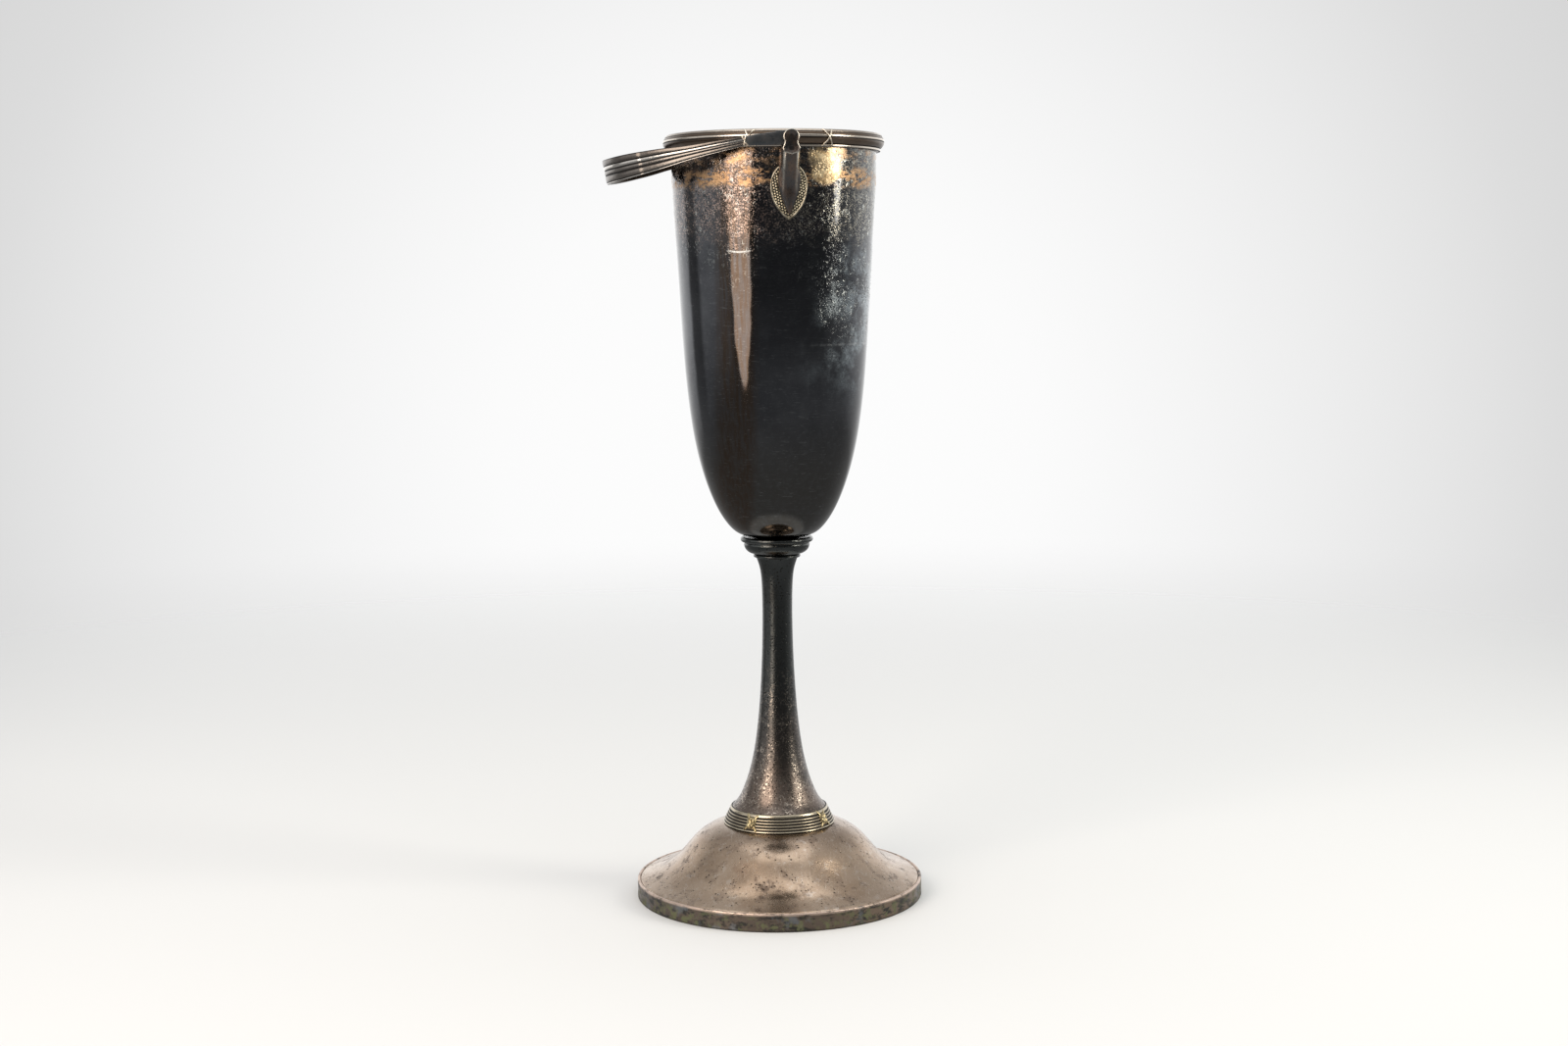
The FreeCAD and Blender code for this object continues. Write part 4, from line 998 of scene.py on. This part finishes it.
# %% Tarnished bowl
def tarnished_bowl_finish():
    f = Finish("tarnished_bowl")
    broad = f.cloud(0.09, 4, 0.6, shift=0.3)
    fine = f.cloud(0.006, 6, 0.7, shift=1.1)
    grain = f.cloud(0.0014, 3, 0.6, shift=2.2)
    film = f.mix(f.rise(broad, 0.35, 0.68), (0.052, 0.054, 0.060), (0.084, 0.087, 0.094))
    film = f.mix(f.rise(f.z, 0.52, 0.42), film, (0.060, 0.058, 0.055))
    film = f.mix(f.times(f.rise(fine, 0.45, 0.75), 0.35), film, (0.10, 0.105, 0.11))
    # brown streaks in the band where the left window reflects: a painted tint that warms that reflection on the dark
    # film
    streaky = f.cloud(0.0035, 4, 0.65, stretch=(1, 1, 0.06), shift=12.0)
    reflection_tint_streaks = f.times(f.band(f.x, -0.066, -0.032, 0.006), f.level(f.rise(streaky, 0.38, 0.60), 0.45, 1.0))
    film = f.mix(reflection_tint_streaks, film, (0.056, 0.042, 0.033))

    right = f.rise(f.math("ADD", f.x, f.times(f.math("SUBTRACT", broad, 0.5), 0.10)), 0.0, 0.06)
    wander = f.math("SUBTRACT", f.cloud(0.018, 6, 0.7, shift=3.0), 0.5)
    height = f.math("ADD", f.z, f.times(wander, 0.022))
    loose = f.math("ADD", f.z, f.times(wander, 0.060))
    high = f.rise(loose, 0.61, 0.70)

    clouded = f.rise(f.cloud(0.030, 5, 0.65, shift=4.0), 0.43, 0.66)
    haze = f.times(right, f.band(loose, 0.53, 0.665, 0.03), clouded)
    haze = f.times(haze, f.rise(grain, 0.25, 0.6))
    colour = f.mix(f.times(haze, 0.85), film, (0.32, 0.365, 0.385))

    eaten = f.rise(f.cloud(0.022, 5, 0.75, shift=5.0), 0.42, 0.56)
    zone = f.level(right, f.times(high, 0.6), f.rise(loose, 0.55, 0.60))
    pits = f.times(f.rise(f.specks(0.0024, 0.7), 0.42, 0.22), eaten, zone)
    curl = f.specks(0.0052, 1.7, stretch=(1, 1, 0.7))
    rims = f.times(f.band(curl, 0.33, 0.43, 0.05), f.rise(fine, 0.47, 0.57), eaten, zone)
    colour = f.mix(f.times(pits, 0.85), colour, (0.012, 0.012, 0.012))
    colour = f.mix(f.times(rims, 0.95), colour, (0.58, 0.61, 0.58))

    dust = f.times(f.band(loose, 0.672, 0.765, 0.012), f.rise(grain, 0.50, 0.58), f.rise(fine, 0.36, 0.56))
    tint = f.mix(f.rise(f.x, -0.03, 0.02), (0.50, 0.37, 0.31), (0.58, 0.54, 0.44))
    colour = f.mix(f.times(dust, 0.60), colour, tint)

    ragged = f.cloud(0.020, 7, 0.78, shift=6.0, stretch=(1, 1, 1.9))
    strings = f.times(f.band(height, 0.7215, 0.7365, 0.004), f.rise(ragged, 0.465, 0.520), 0.9)
    smudges = f.times(f.band(height, 0.740, 0.758, 0.005), f.rise(ragged, 0.47, 0.58), 0.50)
    over = f.times(f.math("SUBTRACT", f.x, 0.036), 1 / 0.018)
    up = f.times(f.math("SUBTRACT", height, 0.741), 1 / 0.021)
    reach = f.math("ADD", f.math("ADD", f.times(over, over), f.times(up, up)), f.times(wander, 2.6))
    patch = f.times(f.rise(reach, 1.15, 0.75), f.rise(f.y, 0.01, -0.01))
    thin = f.times(f.rise(ragged, 0.40, 0.62), 0.35)
    brass = f.mix(f.rise(ragged, 0.46, 0.62), (0.36, 0.21, 0.105), (0.58, 0.37, 0.20))
    brass = f.mix(patch, brass, f.mix(f.rise(fine, 0.38, 0.58), (0.82, 0.67, 0.43), (0.52, 0.37, 0.20)))
    brass = f.mix(f.times(f.rise(fine, 0.54, 0.68), 0.75), brass, (0.13, 0.09, 0.055))
    worn = f.larger(strings, smudges, f.math("SUBTRACT", patch, thin))
    worn = f.times(worn, f.rise(grain, 0.22, 0.40))
    colour = f.mix(worn, colour, brass)

    wipe = f.times(f.band(f.z, 0.5655, 0.5675, 0.0012), right, f.rise(fine, 0.35, 0.65))
    from_nick = f.math("ADD", f.x, 0.0465)
    bow = f.math("ADD", f.z, f.times(from_nick, from_nick, -12.0))
    nick = f.times(f.band(bow, 0.6565, 0.6578, 0.0006), f.band(f.x, -0.057, -0.037, 0.003))
    flat_cloud = f.cloud(0.010, 2, 0.4, stretch=(1, 1, 14), shift=9.0, twist=1.5)
    scuffs = f.times(f.rise(flat_cloud, 0.665, 0.69), 0.5)
    marks = f.larger(f.times(wipe, 0.5), f.times(nick, 0.9), f.times(scuffs, 0.35))
    colour = f.mix(marks, colour, (0.42, 0.44, 0.44))

    inside = f.value("inside")
    stained = f.rise(f.cloud(0.05, 6, 0.65, shift=10.0), 0.38, 0.62)
    lining = f.mix(stained, (0.10, 0.085, 0.065), (0.34, 0.29, 0.22))
    colour = f.mix(inside, colour, lining)

    rough = f.level(f.rise(broad, 0.3, 0.7), 0.055, 0.095)
    rough = f.level(f.times(dust, 0.6), rough, 0.22)
    rough = f.level(worn, rough, f.level(patch, 0.42, 0.30))
    rough = f.level(f.larger(pits, marks, f.times(haze, 0.6)), rough, 0.40)
    rough = f.level(inside, rough, 0.38)
    wavy = f.bump(f.cloud(0.05, 2, 0.4, shift=11.0), 0.0005, 1.0)
    eaten_in = f.math("SUBTRACT", f.times(rims, 0.6), pits)
    normal = f.bump(eaten_in, 0.00014, 1.0, wavy)
    normal = f.bump(f.times(grain, f.level(worn, 0.12, 1.0)), 0.00005, 1.0, normal)
    return f.done(colour, rough, 1.0, normal)


# %% [markdown]
# ## Silver, brass and bronze with painted shade and dirt in the hollows
#
# The crests carry painted highlights, broken by wiped patches, and the valleys a painted black line of
# shade mixed with dirt. The mesh already knows where its valleys are, from the `groove` value, and how
# bright each reed's painted highlight is, from `shine`. One recipe with different metals serves the rim, the foot
# ring and the handle.

# %% Reeded metal
def reeded_finish(name, bright, dull, valley, rough, patch_size, patched):
    f = Finish(name)
    groove, shine = f.value("groove"), f.value("shine")
    blot = f.cloud(patch_size, 5, 0.6, shift=1.0)
    grain = f.cloud(0.0015, 4, 0.6, shift=2.0)
    # painted highlights: each reed's shine from the mesh, broken by wiped patches and lowered in the valleys
    sheen_and_wear = f.math("ADD", shine, f.times(f.math("SUBTRACT", blot, 0.5), patched))
    sheen_and_wear = f.math("SUBTRACT", sheen_and_wear, f.times(groove, 0.35))
    colour = f.mix(f.rise(sheen_and_wear, 0.0, 1.0), dull, bright)
    # painted shade in the valleys, mixed with dirt blots
    valley_shade_and_dirt = f.math("ADD", groove, f.times(f.math("SUBTRACT", blot, 0.5), 0.35))
    colour = f.mix(f.rise(valley_shade_and_dirt, 0.16, 0.60), colour, valley)
    colour = f.mix(f.times(f.rise(grain, 0.58, 0.74), 0.35), colour, valley)
    roughness = f.level(f.rise(sheen_and_wear, 0.2, 0.9), rough + 0.10, rough)
    roughness = f.level(f.rise(groove, 0.5, 1.0), roughness, 0.6)
    normal = f.bump(f.cloud(0.006, 3, 0.5, shift=3.0), 0.00016, 1.0)
    normal = f.bump(grain, 0.00002, 1.0, normal)
    return f.done(colour, roughness, f.level(f.rise(groove, 0.6, 1.0), 1.0, 0.5), normal)


def plain_metal_finish(name, clean, dull, dark, rough, size):
    """Metal with broad dull patches, dark blots and fine specks; `size` is the width of a blot in metres."""
    f = Finish(name)
    blot = f.cloud(size, 6, 0.68, shift=1.5)
    grain = f.cloud(size * 0.12, 4, 0.7, shift=2.5)
    colour = f.mix(f.rise(blot, 0.40, 0.62), clean, dull)
    colour = f.mix(f.rise(f.math("ADD", blot, f.times(grain, 0.5)), 0.80, 0.95), colour, dark)
    colour = f.mix(f.times(f.rise(grain, 0.60, 0.74), 0.8), colour, dark)
    roughness = f.level(f.rise(blot, 0.35, 0.7), rough, rough + 0.18)
    normal = f.bump(blot, 0.0002, 0.6)
    normal = f.bump(grain, 0.00005, 1.0, normal)
    return f.done(colour, roughness, 1.0, normal)


# %% [markdown]
# ## Stem, foot and edge
#
# The stem is grey-black at the top and a dark warm brown at the bottom, where it was cleaned with the foot.
# The foot was polished until its silver became a thin pinkish skin over the copper; it is scuffed and
# pitted, and the band round its edge has turned green where it stood damp.

# %% Stem
def stem_finish():
    f = Finish("stem_bronze")
    blot = f.cloud(0.03, 6, 0.7, stretch=(1, 1, 0.5), shift=1.0)
    grain = f.cloud(0.0022, 5, 0.72, shift=2.0)
    height = f.math("ADD", f.z, f.times(f.math("SUBTRACT", blot, 0.5), 0.10))
    colour = f.mix(f.rise(height, 0.24, 0.15), (0.062, 0.066, 0.065), (0.082, 0.074, 0.068))
    colour = f.mix(f.rise(height, 0.150, 0.100), colour, (0.150, 0.120, 0.102))
    colour = f.mix(f.times(f.rise(blot, 0.52, 0.66), 0.6), colour, (0.035, 0.034, 0.032))
    light = f.times(f.rise(grain, 0.52, 0.62), f.rise(f.cloud(0.012, 4, 0.7, shift=3.0), 0.42, 0.56))
    light = f.times(light, f.rise(f.z, 0.27, 0.15))
    colour = f.mix(f.times(light, 0.80), colour, (0.52, 0.45, 0.38))
    dark = f.rise(f.specks(0.0035, 0.4), 0.30, 0.16)
    colour = f.mix(f.times(dark, 0.8), colour, (0.012, 0.010, 0.009))
    rough = f.level(f.rise(blot, 0.3, 0.7), 0.13, 0.24)
    rough = f.level(f.rise(f.z, 0.20, 0.12), rough, f.level(f.rise(grain, 0.42, 0.62), 0.36, 0.20))
    rough = f.level(dark, rough, 0.40)
    normal = f.bump(f.cloud(0.02, 3, 0.5, stretch=(1, 1, 0.4), shift=4.0), 0.0005, 0.7)
    normal = f.bump(f.math("SUBTRACT", f.times(grain, 2.0), dark), 0.00009, 1.0, normal)
    return f.done(colour, rough, 1.0, normal)


# %% [markdown]
# ## Dome
#
# Broad patches and blots come first, then a darker shoulder, stains, rubbed places, pits and scuffs.

# %% Dome
def dome_finish():
    f = Finish("worn_dome")
    broad = f.cloud(0.07, 5, 0.62, shift=1.0)
    blot = f.cloud(0.014, 6, 0.72, shift=2.0)
    grain = f.cloud(0.0016, 5, 0.7, shift=3.0)
    colour = f.mix(f.rise(broad, 0.36, 0.64), (0.44, 0.340, 0.255), (0.34, 0.245, 0.172))
    colour = f.mix(f.times(f.rise(blot, 0.50, 0.64), 0.7), colour, (0.25, 0.185, 0.14))
    shoulder = f.rise(f.z, 0.055, 0.070)
    colour = f.mix(f.times(shoulder, 0.35), colour, (0.16, 0.115, 0.09))
    stains = f.times(f.rise(blot, 0.55, 0.64), f.rise(broad, 0.44, 0.58))
    colour = f.mix(f.times(stains, 0.60), colour, (0.11, 0.08, 0.06))
    bright = f.times(f.rise(f.cloud(0.009, 6, 0.75, shift=5.0), 0.54, 0.66), f.rise(broad, 0.62, 0.44))
    colour = f.mix(f.times(bright, 0.55), colour, (0.58, 0.51, 0.45))
    pits = f.times(f.rise(f.specks(0.0042, 0.9), 0.28, 0.14), f.rise(blot, 0.42, 0.58))
    colour = f.mix(f.times(pits, 0.95), colour, (0.035, 0.026, 0.020))
    colour = f.mix(f.times(f.rise(grain, 0.58, 0.72), 0.55), colour, (0.13, 0.095, 0.075))
    scuffs = f.rise(f.cloud(0.012, 2, 0.4, stretch=(12, 1, 1), shift=6.0, twist=2.0), 0.66, 0.69)
    colour = f.mix(f.times(scuffs, 0.5), colour, (0.62, 0.54, 0.47))
    rough = f.level(f.rise(blot, 0.35, 0.7), 0.19, 0.30)
    rough = f.level(f.larger(pits, stains), rough, 0.50)
    normal = f.bump(f.cloud(0.035, 3, 0.5, shift=7.0), 0.0007, 0.8)
    normal = f.bump(f.math("SUBTRACT", f.times(grain, 0.4), pits), 0.00012, 1.0, normal)
    return f.done(colour, rough, 1.0, normal)


# %% [markdown]
# ## Edge band
#
# The band is dull, with dark, grey and greenish blots. Its lip is painted bright as a reflection, broken by
# blots, and a painted contact shadow makes it nearly black where it touches the floor.

# %% Edge band
def edge_finish():
    f = Finish("edge_verdigris")
    blot = f.cloud(0.016, 6, 0.72, stretch=(1, 1, 2.5), shift=1.0)
    grain = f.cloud(0.0016, 5, 0.7, shift=2.0)
    side = f.rise(f.math("ADD", f.x, f.times(f.math("SUBTRACT", blot, 0.5), 0.15)), -0.02, 0.09)
    colour = f.mix(side, (0.120, 0.095, 0.078), (0.165, 0.125, 0.095))
    colour = f.mix(f.rise(blot, 0.46, 0.58), colour, (0.045, 0.043, 0.040))
    grey = f.rise(f.cloud(0.030, 4, 0.6, shift=4.0), 0.52, 0.62)
    colour = f.mix(f.times(grey, 0.7), colour, (0.17, 0.18, 0.19))
    green = f.times(f.rise(f.cloud(0.011, 5, 0.7, shift=3.0), 0.50, 0.60), f.rise(f.z, 0.019, 0.010))
    colour = f.mix(f.times(green, 0.85), colour, (0.115, 0.125, 0.060))
    # painted reflection: a bright line along the lip, broken by blots
    sheen_and_wear = f.times(f.rise(f.z, 0.0150, 0.0176), f.rise(blot, 0.68, 0.48))
    colour = f.mix(sheen_and_wear, colour, (0.60, 0.47, 0.39))
    # painted contact shadow: nearly black at the foot of the band, where it meets the floor
    contact_shadow = f.rise(f.z, 0.0022, 0.0004)
    colour = f.mix(f.times(contact_shadow, 0.85), colour, (0.02, 0.018, 0.014))
    green_and_contact_shadow = f.larger(green, contact_shadow)
    rough = f.level(f.rise(blot, 0.3, 0.7), 0.30, 0.48)
    rough = f.level(green_and_contact_shadow, rough, 0.75)
    normal = f.bump(blot, 0.0004, 0.8)
    normal = f.bump(grain, 0.0001, 1.0, normal)
    return f.done(colour, rough, f.level(green_and_contact_shadow, 1.0, 0.35), normal)


# %% [markdown]
# ## Escutcheon
#
# The leaf's ground was matted with a small punch. The dimples, marked by the value `punch`, are dark, and
# the grains between them shine like old gilt. The bead is rubbed bright; the mesh marks it with `bead`.

# %% Escutcheon finish
def escutcheon_finish():
    f = Finish("escutcheon_gilt")
    punch = f.value("punch")
    blot = f.cloud(0.008, 5, 0.7, shift=1.0)
    colour = f.mix(f.rise(punch, -0.15, 0.30), (0.030, 0.027, 0.020), (0.74, 0.65, 0.47))
    colour = f.mix(f.times(f.rise(blot, 0.50, 0.64), 0.5), colour, (0.06, 0.055, 0.045))
    colour = f.mix(f.times(f.value("bead"), f.rise(blot, 0.62, 0.42)), colour, (0.52, 0.48, 0.38))
    normal = f.bump(f.cloud(0.0009, 3, 0.6, shift=2.0), 0.00006, 1.0)
    return f.done(colour, 0.34, 1.0, normal)


# %% [markdown]
# ## Arm
#
# The cast arm is nearly black, with brown patches and fine specks, and carries painted highlights: bright
# glints on its crests and round the head's turned edge.

# %% Arm finish
def arm_finish():
    """Near-black cast metal with painted glints, bright where the mesh marks a glint with 1."""
    f = Finish("arm_dark")
    blot = f.cloud(0.009, 6, 0.7, stretch=(1, 1, 0.5), shift=1.5)
    grain = f.cloud(0.0012, 4, 0.7, shift=2.5)
    colour = f.mix(f.rise(blot, 0.40, 0.62), (0.115, 0.110, 0.108), (0.175, 0.130, 0.105))
    colour = f.mix(f.times(f.rise(grain, 0.54, 0.70), 0.8), colour, (0.022, 0.020, 0.019))
    # painted glints: bright on the crests and the head's turned edge, where the mesh marks them, broken by the grain
    sheen_and_wear = f.times(f.value("sheen_and_wear"), f.rise(grain, 0.72, 0.46))
    colour = f.mix(sheen_and_wear, colour, (0.70, 0.66, 0.58))
    rough = f.level(sheen_and_wear, f.level(f.rise(blot, 0.35, 0.7), 0.12, 0.26), 0.20)
    normal = f.bump(blot, 0.0003, 0.8)
    normal = f.bump(grain, 0.00006, 1.0, normal)
    return f.done(colour, rough, 1.0, normal)


# %% [markdown]
# ## Which finish goes where
#
# The record names fourteen finishes, and each piece already knows its own. One table pairs each name with
# its recipe. The parts inside the cup that keep their original shape, such as rod and nut, take theirs from
# the same table.

# %% Table of finishes
REEDED_METALS = {
    # bright crest, dull crest, valley, roughness, width of a patch in metres, strength of the patches
    "aged_silver": ((0.58, 0.52, 0.45), (0.13, 0.095, 0.070), (0.016, 0.012, 0.010), 0.20, 0.012, 0.55),
    "foot_reeds": ((0.52, 0.46, 0.35), (0.22, 0.18, 0.125), (0.010, 0.008, 0.006), 0.24, 0.010, 0.5),
    "bail_silver": ((0.56, 0.53, 0.49), (0.095, 0.080, 0.070), (0.012, 0.010, 0.009), 0.17, 0.020, 0.35),
}
PLAIN_METALS = {
    # clean, dull, dark, roughness, width of a blot in metres
    "ribbon_bright": ((0.74, 0.68, 0.58), (0.50, 0.43, 0.33), (0.10, 0.08, 0.06), 0.22, 0.006),
    "raw_brass": ((0.55, 0.38, 0.17), (0.36, 0.24, 0.11), (0.09, 0.06, 0.03), 0.32, 0.008),
    "ribbon_gold": ((0.50, 0.42, 0.25), (0.27, 0.21, 0.11), (0.035, 0.027, 0.016), 0.26, 0.0035),
    "plain_steel": ((0.38, 0.37, 0.36), (0.25, 0.23, 0.21), (0.14, 0.07, 0.035), 0.40, 0.009),
    "bail_dark": ((0.125, 0.135, 0.145), (0.15, 0.15, 0.15), (0.05, 0.05, 0.05), 0.27, 0.018),
}
finishes = {
    "tarnished_bowl": tarnished_bowl_finish(), "stem_bronze": stem_finish(), "worn_dome": dome_finish(),
    "edge_verdigris": edge_finish(), "escutcheon_gilt": escutcheon_finish(), "arm_dark": arm_finish(),
}
finishes.update({name: reeded_finish(name, *look) for name, look in REEDED_METALS.items()})
finishes.update({name: plain_metal_finish(name, *look) for name, look in PLAIN_METALS.items()})
slot_of_node = {"front_pivot_pin": "arm_dark", "rear_pivot_pin": "arm_dark", "bowl_boss": "raw_brass",
                "front_pivot_washer": "raw_brass", "rear_pivot_washer": "raw_brass", "tie_rod": "plain_steel",
                "tie_nut": "plain_steel", "tie_washer": "plain_steel", "clamp_plate": "plain_steel"}
for node_name, slot_name in slot_of_node.items():
    for holder in frame["nodes"][node_name].material_slots:
        holder.material = finishes[slot_name]
for piece, slot_name in dressed:
    piece.data.materials.clear()
    piece.data.materials.append(finishes[slot_name])
print(len(finishes), "finishes on", len(dressed), "pieces and", len(slot_of_node), "inner parts")


# %% [markdown]
# ## Room, lights and camera
#
# A mirror-like bowl shows the room more than itself. The room here is a plain one: white walls behind and
# beside the cup, a dark space in front, a faint light overhead, and two tall soft lights, left and right,
# which draw the upright highlights. A pale floor fades into the background, so no edge of it is seen. The
# bowl's reflection shows only the nearest part of that floor, as if the cup stood on a small table in a dim
# room.

# %% Floor
def floor_disc(radius, rings=24, around=96):
    """A flat disc at z = 0: point (r cos a, r sin a, 0) for r on even rings and a round the circle."""
    r = np.linspace(0, radius, rings + 1)[1:]
    a = np.linspace(0, 2 * math.pi, around, endpoint=False)
    points = np.stack([np.outer(r, np.cos(a)), np.outer(r, np.sin(a)), np.zeros((rings, around))], axis=-1)
    points = np.concatenate([points.reshape(-1, 3), [[0, 0, 0]]])
    j = np.arange(around)
    fan = np.stack([np.full(around, len(points) - 1), j, (j + 1) % around], axis=1)
    mesh = bpy.data.meshes.new("pale_floor")
    quads = grid_faces(rings, around, False, True)[:, ::-1]
    mesh.from_pydata(points.tolist(), [], fan.tolist() + quads.tolist())
    return mesh


floor = bpy.data.objects.new("pale_floor", floor_disc(6.0))
bpy.context.scene.collection.objects.link(floor)
pale = Finish("pale_floor")
away = pale.math("SQRT", pale.math("ADD", pale.times(pale.x, pale.x), pale.times(pale.y, pale.y)))
mirrored = pale.add("ShaderNodeLightPath").outputs["Is Glossy Ray"]
cut_off = pale.math("SUBTRACT", 1.0, pale.times(mirrored, pale.rise(away, 0.22, 0.30)))
pale.done((0.765, 0.780, 0.785), 0.7, 0.0,
          **{"Alpha": pale.times(pale.rise(away, 3.2, 0.55), cut_off), "Specular IOR Level": 0.2})
floor.data.materials.append(pale.material)

# %% [markdown]
# ## Walls
#
# The walls are painted by direction: one ramp follows the bearing round the cup, a second the slope up and
# down. The camera sees a plain glow behind the cup instead of them.

# %% World
scene = bpy.context.scene
scene.view_settings.view_transform = "Standard"
world = bpy.data.worlds.new("studio")
scene.world = world
world.use_nodes = True
room = world.node_tree


def room_node(kind, inputs=None, **settings):
    node = room.nodes.new(kind)
    for key, value in settings.items():
        setattr(node, key, value)
    for key, value in (inputs or {}).items():
        if isinstance(value, bpy.types.NodeSocket):
            room.links.new(value, node.inputs[key])
        else:
            node.inputs[key].default_value = value
    return node


def room_ramp(value, stops):
    """A brightness that follows a value through (position, brightness) stops."""
    ramp = room_node("ShaderNodeValToRGB", {"Fac": value})
    elements = ramp.color_ramp.elements
    while len(elements) < len(stops):
        elements.new(0.5)
    for element, (position, bright) in zip(elements, stops):
        element.position = position
        element.color = (bright, bright, bright, 1)
    return ramp.outputs["Color"]


direction = room_node("ShaderNodeTexCoord").outputs["Generated"]
axes = room_node("ShaderNodeSeparateXYZ", {"Vector": direction})
bearing = room_node("ShaderNodeMath", {0: axes.outputs["X"], 1: axes.outputs["Y"]},
                    operation="ARCTAN2").outputs[0]
# the bearing is 0 towards +Y, behind the cup, and half a turn towards the front; + is to the right
turn = room_node("ShaderNodeMapRange",
                 {"Value": bearing, "From Min": -math.pi, "From Max": math.pi}).outputs[0]
walls = room_ramp(turn, [(0.0, 0.12), (0.10, 0.13), (0.165, 0.30), (0.18, 0.95), (0.295, 0.98),
                         (0.312, 0.30), (0.355, 0.30), (0.37, 1.4), (0.5, 1.4), (0.70, 1.3), (0.74, 0.8),
                         (0.79, 0.45), (0.86, 0.14), (1.0, 0.12)])
slope = room_node("ShaderNodeMapRange",
                  {"Value": axes.outputs["Z"], "From Min": -1.0, "From Max": 1.0}).outputs[0]
above = room_ramp(slope, [(0.0, 0.42), (0.42, 0.34), (0.5, 0.0), (0.62, 0.0), (0.75, 0.50), (1.0, 0.85)])
height_share = room_ramp(slope, [(0.0, 1.0), (0.38, 1.0), (0.48, 0.0), (0.62, 0.0), (0.80, 1.0), (1.0, 1.0)])
lit = room_node("ShaderNodeMix", {0: height_share, 6: walls, 7: above}, data_type="RGBA").outputs[2]
ahead = room_node("ShaderNodeVectorMath", {0: direction, 1: (0.139, 0.987, -0.075)}, operation="DOT_PRODUCT")
glow = room_ramp(ahead.outputs["Value"],
                 [(0.85, 0.50), (0.94, 0.72), (0.975, 0.88), (0.993, 0.97), (1.0, 0.98)])
seen = room_node("ShaderNodeLightPath").outputs["Is Camera Ray"]
shown = room_node("ShaderNodeMix", {0: seen, 6: lit, 7: glow}, data_type="RGBA").outputs[2]
room.links.new(shown, room.nodes["Background"].inputs["Color"])


# %% [markdown]
# ## Lights
#
# Each window is an upright soft light that faces the cup's axis from a bearing, 0 being straight in front.
# The faint ceiling light lies flat above the cup and faces down.

# %% Lights
def soft_light(name, bearing_deg, distance, height, width, tall, glow_level, tint, shape="ELLIPSE"):
    """An area light that faces the cup's axis; its power, glow x pi x area, makes it look `glow_level`
    bright."""
    data = bpy.data.lights.new(name, "AREA")
    data.shape = shape
    data.size, data.size_y = width, tall
    area = width * tall * (math.pi / 4 if shape == "ELLIPSE" else 1)
    data.energy = glow_level * math.pi * area
    data.color = tint
    lamp = bpy.data.objects.new(name, data)
    a = math.radians(bearing_deg)
    lamp.location = (distance * math.sin(a), -distance * math.cos(a), height)
    lamp.rotation_euler = (math.radians(90), 0, a)
    scene.collection.objects.link(lamp)
    print(f"{name}: {data.energy:.1f} W")
    return lamp


soft_light("left_window", -48, 2.8, 1.70, 1.75, 3.6, 4.8, (1.0, 0.86, 0.74))
soft_light("right_window", 66, 2.8, 1.74, 1.05, 2.5, 8.0, (1.0, 0.94, 0.83))
top_light = soft_light("ceiling_light", 0, 0.0, 3.2, 2.6, 2.6, 0.9, (1.0, 1.0, 1.0), "RECTANGLE")
top_light.rotation_euler = (0, 0, 0)

# %% [markdown]
# ## Camera
#
# The camera stands a little to the left of the front, about 15 cm below the top of the rim, and looks
# slightly down.

# %% Camera
CAMERA_BEARING, CAMERA_DISTANCE, EYE_HEIGHT, LENS = -8.2, 2.2178, 0.6290, 50.24
AIM_DOWN, AIM_RIGHT, ROLL, LENS_SHIFT = 5.497, 0.20, -0.45, -0.02
camera_data = bpy.data.cameras.new("camera")
camera = bpy.data.objects.new("camera", camera_data)
scene.collection.objects.link(camera)
scene.camera = camera
a = math.radians(CAMERA_BEARING)
camera.location = (CAMERA_DISTANCE * math.sin(a), -CAMERA_DISTANCE * math.cos(a), EYE_HEIGHT)
pan = Matrix.Rotation(math.radians(CAMERA_BEARING - AIM_RIGHT), 3, "Z")
tilt = Matrix.Rotation(math.radians(90 - AIM_DOWN), 3, "X")
roll = Matrix.Rotation(math.radians(ROLL), 3, "Z")
camera.rotation_euler = (pan @ tilt @ roll).to_euler()
camera_data.lens = LENS
camera_data.shift_y = LENS_SHIFT
camera_data.sensor_width = 36
